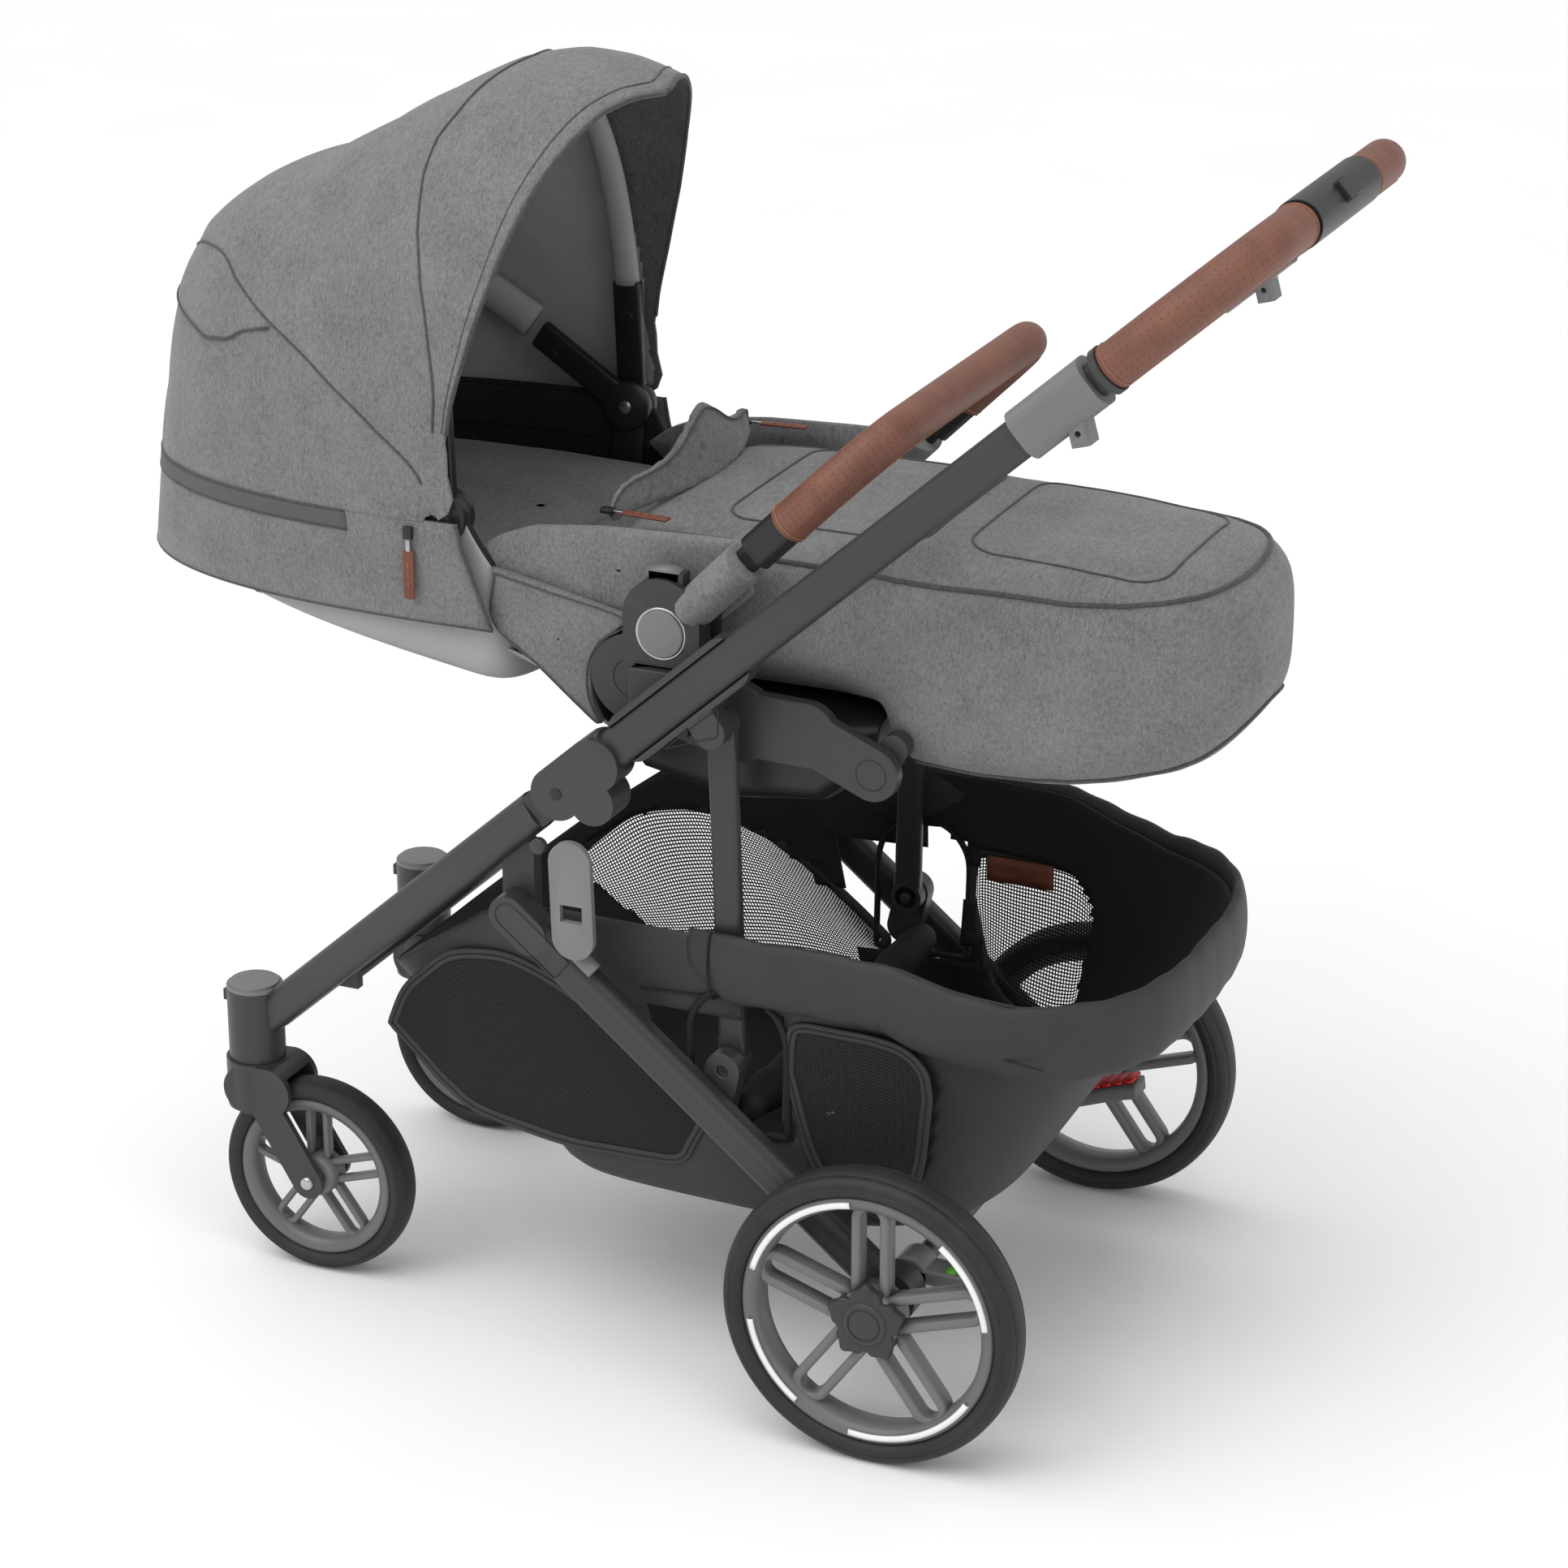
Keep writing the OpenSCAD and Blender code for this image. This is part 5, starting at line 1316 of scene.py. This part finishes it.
def wheel(body, node, centre, radius, tyre_w, rim_r, rim_w, hub_r, spoke_w, spoke_gap, s):
    """Rim, spokes, hub and tyre; s is the side that faces out."""
    r, w = rim_r, rim_w / 2
    band = [(r - 0.5, -w), (r - 3, -w - 1), (r - 8, -w + 1), (r - 12, -w + 4), (r - 13.5, 0), (r - 12, w - 4), (r - 8, w - 1), (r - 3, w + 1), (r - 0.5, w)]
    parts = [lathe("band", np.array(band) * MM, at(centre), "rim")]
    for k in range(5):
        parts.append(spoke("spoke", centre, math.radians(90 + 72 * k), hub_r - 4, r - 9, spoke_gap, spoke_w, rim_w - 12, "rim"))
    hub = [(0, -w - 1), (hub_r - 4, -w - 1), (hub_r, -w + 2), (hub_r, w - 2), (hub_r - 4, w + 1), (0, w + 1)]
    parts.append(lathe("hub", np.array(hub) * MM, at(centre), "rim", 60, False))
    place(join(node + "_spokes", parts), body, "rim", node)

    face = np.array(centre) + [0, s * (w + 1.5), 0]
    caps = []
    if radius > 100:
        t = np.linspace(0, 2 * math.pi, 100, endpoint=False)
        lobes = (hub_r + 3 + 5 * np.cos(5 * (t - math.pi / 2)) ** 3)
        rings = [np.stack([face[0] + lobes * k * np.cos(t), np.full(100, face[1] + s * h), face[2] + lobes * k * np.sin(t)], axis=1) for k, h in ((1, -6), (1, 1), (0.95, 2.2), (0.6, 2.8), (0.02, 2.8))]
        caps.append(add_grid("cover", at(np.array(rings)), "dark", wrap_cols=True))
        caps.append(lathe("cap", np.array([(0, 4.6), (17, 4.6), (19, 3.6), (19.5, 1), (19.5, 0), (0, 0)]) * [MM, s * MM], at(face), "dark", 60, False))
        caps.append(lathe("groove", np.array([(13.2, 4.9), (14, 5.1), (14.8, 4.9), (14, 4.4)]) * [MM, s * MM], at(face), "plastic", 60))
        for start in (98, 190, 262, 8):
            span = 66 if start in (98, 262) else 44
            a = np.radians(np.linspace(start, start + span, 24))
            rows = [np.stack([face[0] + k * np.cos(a), np.full(24, face[1] + s * h), face[2] + k * np.sin(a)], axis=1) for k, h in ((102.5, -0.6), (103, 0.9), (107, 0.5), (107.4, -1.2))]
            arc = add_grid("arc", at(np.array(rows)), "reflector")
            modify(arc, "SOLIDIFY", thickness=0.8 * MM, offset=0)
            caps.append(arc)
    else:
        caps.append(lathe("cap", np.array([(0, 2.5), (9, 2.5), (11, 1.5), (11, -1), (0, -1)]) * [MM, s * MM], at(face), "dark", 40, False))
    place(join(node + "_cover", caps), body, "black_plastic")

    half, top = tyre_w / 2, radius
    tyre = [
        (r - 0.2, -half + 6), (r + 1.5, -half + 3.2), (r + 4, -half + 1.2), (r + 7, -half), (r + 9.5, -half + 0.2), (r + 9.9, -half + 1.0),
        (r + 10.6, -half + 0.6), (top - 5, -half + 1.8), (top - 2.2, -half + 4.6), (top - 0.9, -half + 8), (top - 1.9, -half + 9), (top - 0.5, -half + 10),
        (top, -3), (top, 3),
        (top - 0.5, half - 10), (top - 1.9, half - 9), (top - 0.9, half - 8), (top - 2.2, half - 4.6), (top - 5, half - 1.8), (r + 10.6, half - 0.6),
        (r + 9.9, half - 1.0), (r + 9.5, half - 0.2), (r + 7, half), (r + 4, half - 1.2), (r + 1.5, half - 3.2), (r - 0.2, half - 6),
    ]
    if radius < 100:
        tyre = [(min(max(q, r - 0.2), top), y) for q, y in tyre if not (q > top - 2.3 and abs(abs(y) - half + 9) < 0.2)]
    place(lathe(node.replace("rim", "tyre") + "_tread", np.array(tyre) * MM, at(centre), "tyre", 140), body, "tyre", node.replace("rim", "tyre"))


def wheels():
    for side, s in SIDES.items():
        wheel("rear_wheel_" + side, "rear_rim_" + side, (300, s * 271.4, 130), 130, 39, 111, 30, 27, 8.5, 25, s)
        wheel("front_wheel_" + side, "front_rim_" + side, (-281, s * 157, 91), 91, 33, 75, 24, 19, 6, 17, s)
        screw = lathe("fork_screw_" + side, np.array([(0, -29.5), (4.5, -29.5), (6, -28.5), (6, 28.5), (4.5, 29.5), (0, 29.5)]) * MM, at((-281, s * 157, 91)), "steel", 24, False)
        place(screw, "caster_" + side, "black_plastic")


def pedals():
    for side, s in SIDES.items():
        tip_z = 20 if side == "right" else 0
        lean = math.atan2(tip_z, 56)
        c, n = math.cos(lean), math.sin(lean)
        line = [(308, 131), (320, 130 + tip_z * 0.22), (345, 130 + tip_z * 0.68), (366, 130 + tip_z), (371, 131 + tip_z)]
        path = at(side_points(smooth_path([(x, 0, z) for x, z in line], 14)[:, [0, 2]], s * 182))
        body = sweep("arm", path, np.array([(-13, -6.5), (13, -6.5), (14, -4), (14, 4), (12, 6.5), (-12, 6.5), (-14, 4), (-14, -4)]) * MM, "rim")
        boss = lathe("boss", np.array([(9.2, -14), (16, -14), (16.5, -12), (16.5, 12), (16, 14), (9.2, 14)]) * MM, at((300, s * 182, 130)), "rim", 40)
        pieces = [body, boss]
        for k in range(4):
            d = 26 + k * 11
            centre = np.array((300 + 10 + c * d - n * 7.4, s * 182, 128 + n * d + c * 7.4 + (0.22 * tip_z if tip_z else 1)))
            ribs = sweep("rib", at([centre - [0, 11, 0], centre + [0, 11, 0]]), np.array([(-4.6, -1.6), (4.6, -1.6), (4.2, 1), (-4.2, 1.8)]) * MM, "red" if side == "right" else "green", up=(-n, 0, c))
            pieces.append(ribs)
        place(join("pedal_" + side, pieces), "brake_" + side, "accent", "brake_pedal_" + side)


# ---------------------------------------------------------------- small details

def disc(name, centre, r, height, material, s, count=40):
    prof = np.array([(0, height), (r - 0.8, height), (r, height - 0.8), (r, 0), (0, 0)]) * [MM, s * MM]
    return lathe(name, prof, at(centre), material, count, False)


def circle_line(name, centre, r, material="plastic", thin=0.5):
    t = np.linspace(0, 2 * math.pi, 48, endpoint=False)
    return tube(name, at([(centre[0] + r * math.cos(a), centre[1], centre[2] + r * math.sin(a)) for a in t]), thin * MM, material, 6, closed=True, up=(0, 1, 0))


def details():
    for side, s in SIDES.items():
        upper, chassis, seat, rear = [], [], [], []
        p = lambda t, off=0.0: (5 + t * math.cos(TUBE_SLOPE) + off * math.sin(TUBE_SLOPE), 530 + t * math.sin(TUBE_SLOPE) - off * math.cos(TUBE_SLOPE))
        # seam across the fold housing, and the triangle on the strut bracket
        seam = [p(62, k) for k in np.linspace(-17, 17, 9)]
        upper.append(tube("seam", at(side_points(seam, s * 242.4)), 0.5 * MM, "plastic", 6, up=(0, 1, 0)))
        tri = [p(104, 24), p(168, 24), (146, 598), (128, 592)]
        tri = even_loop(side_points(tri, s * 234.3), 4)
        upper.append(tube("panel", at(tri), 0.5 * MM, "plastic", 6, closed=True, up=(0, 1, 0)))
        chassis.append(disc("stud", (-14, s * 236, 480), 7, 6, "frame", s))
        place(join("frame_marks_" + side, upper), "upper_frame", "frame")
        place(join("leg_stud_" + side, chassis), "chassis", "frame")
        leg = np.array([-45, 412.0])
        d = np.array([math.cos(math.atan2(-282, 345)), math.sin(math.atan2(-282, 345))])
        n = np.array([-d[1], d[0]])
        oval = [leg + d * (34 * t) + n * h for t, h in [(0, 11), (1.9, 11), (1.9, -11), (0, -11)]] + [leg - d * 11 * math.sin(a) - n * 11 * math.cos(a) for a in np.linspace(0.2, math.pi - 0.2, 9)]
        rear.append(tube("plate", at(even_loop(side_points(oval, s * 239.0), 3)), 0.6 * MM, "plastic", 6, closed=True, up=(0, 1, 0)))
        place(join("leg_plate_" + side, rear), "rear_frame", "frame")
        seat.append(circle_line("arm_ring", (258, s * 184.0, 565), 13))
        seat.append(circle_line("pivot_ring", (47, s * 184.0, 617), 17))
        place(join("arm_marks_" + side, seat), "seat_base", "frame")
        # bright edge round the seat button and the release on top of it
        ring_ = lathe("button_ring", np.array([(19.2, 206.6), (21.5, 207.6), (22.4, 207), (22.4, 205.5), (19.2, 205.5)]) * [MM, s * MM], at((84, 0, 668)), "steel", 60)
        release = sweep("release", at([(70, s * 196, 716), (84, s * 196, 718), (98, s * 196, 716)]), np.array([(-7, -4), (7, -4), (7, 3), (5, 5), (-5, 5), (-7, 3)]) * MM, "accent")
        sleeve_path = [(108, s * 186, 690), (118, s * 189, 700), (140, s * 190, 722), (152, s * 190, 734)]
        place(join("seat_button_ring_" + side, [ring_, release]), "seat_base", "accent")
        sleeve = sweep("bumper_sleeve_" + side, at(smooth_path(sleeve_path, 24)), circle_section(29 * MM, 26, 0.6), "twill_object", up=(-0.7, 0, 0.7))
        modify(sleeve, "BEVEL", width=4 * MM, segments=3, limit_method="ANGLE", angle_limit=math.radians(50))
        place(sleeve, "seat_base", "grey_fabric")


def soft_and_round_parts():
    hood_dome()
    hood_seams()
    hood_skirt()
    hood_bows()
    head_shell()
    mattress()
    boot()
    collar_flap()
    seat_sides()
    leather_bars()
    basket()
    basket_pad()
    wheels()
    pedals()
    details()


add_camera()
add_studio()
dress_hard_parts()
soft_and_round_parts()
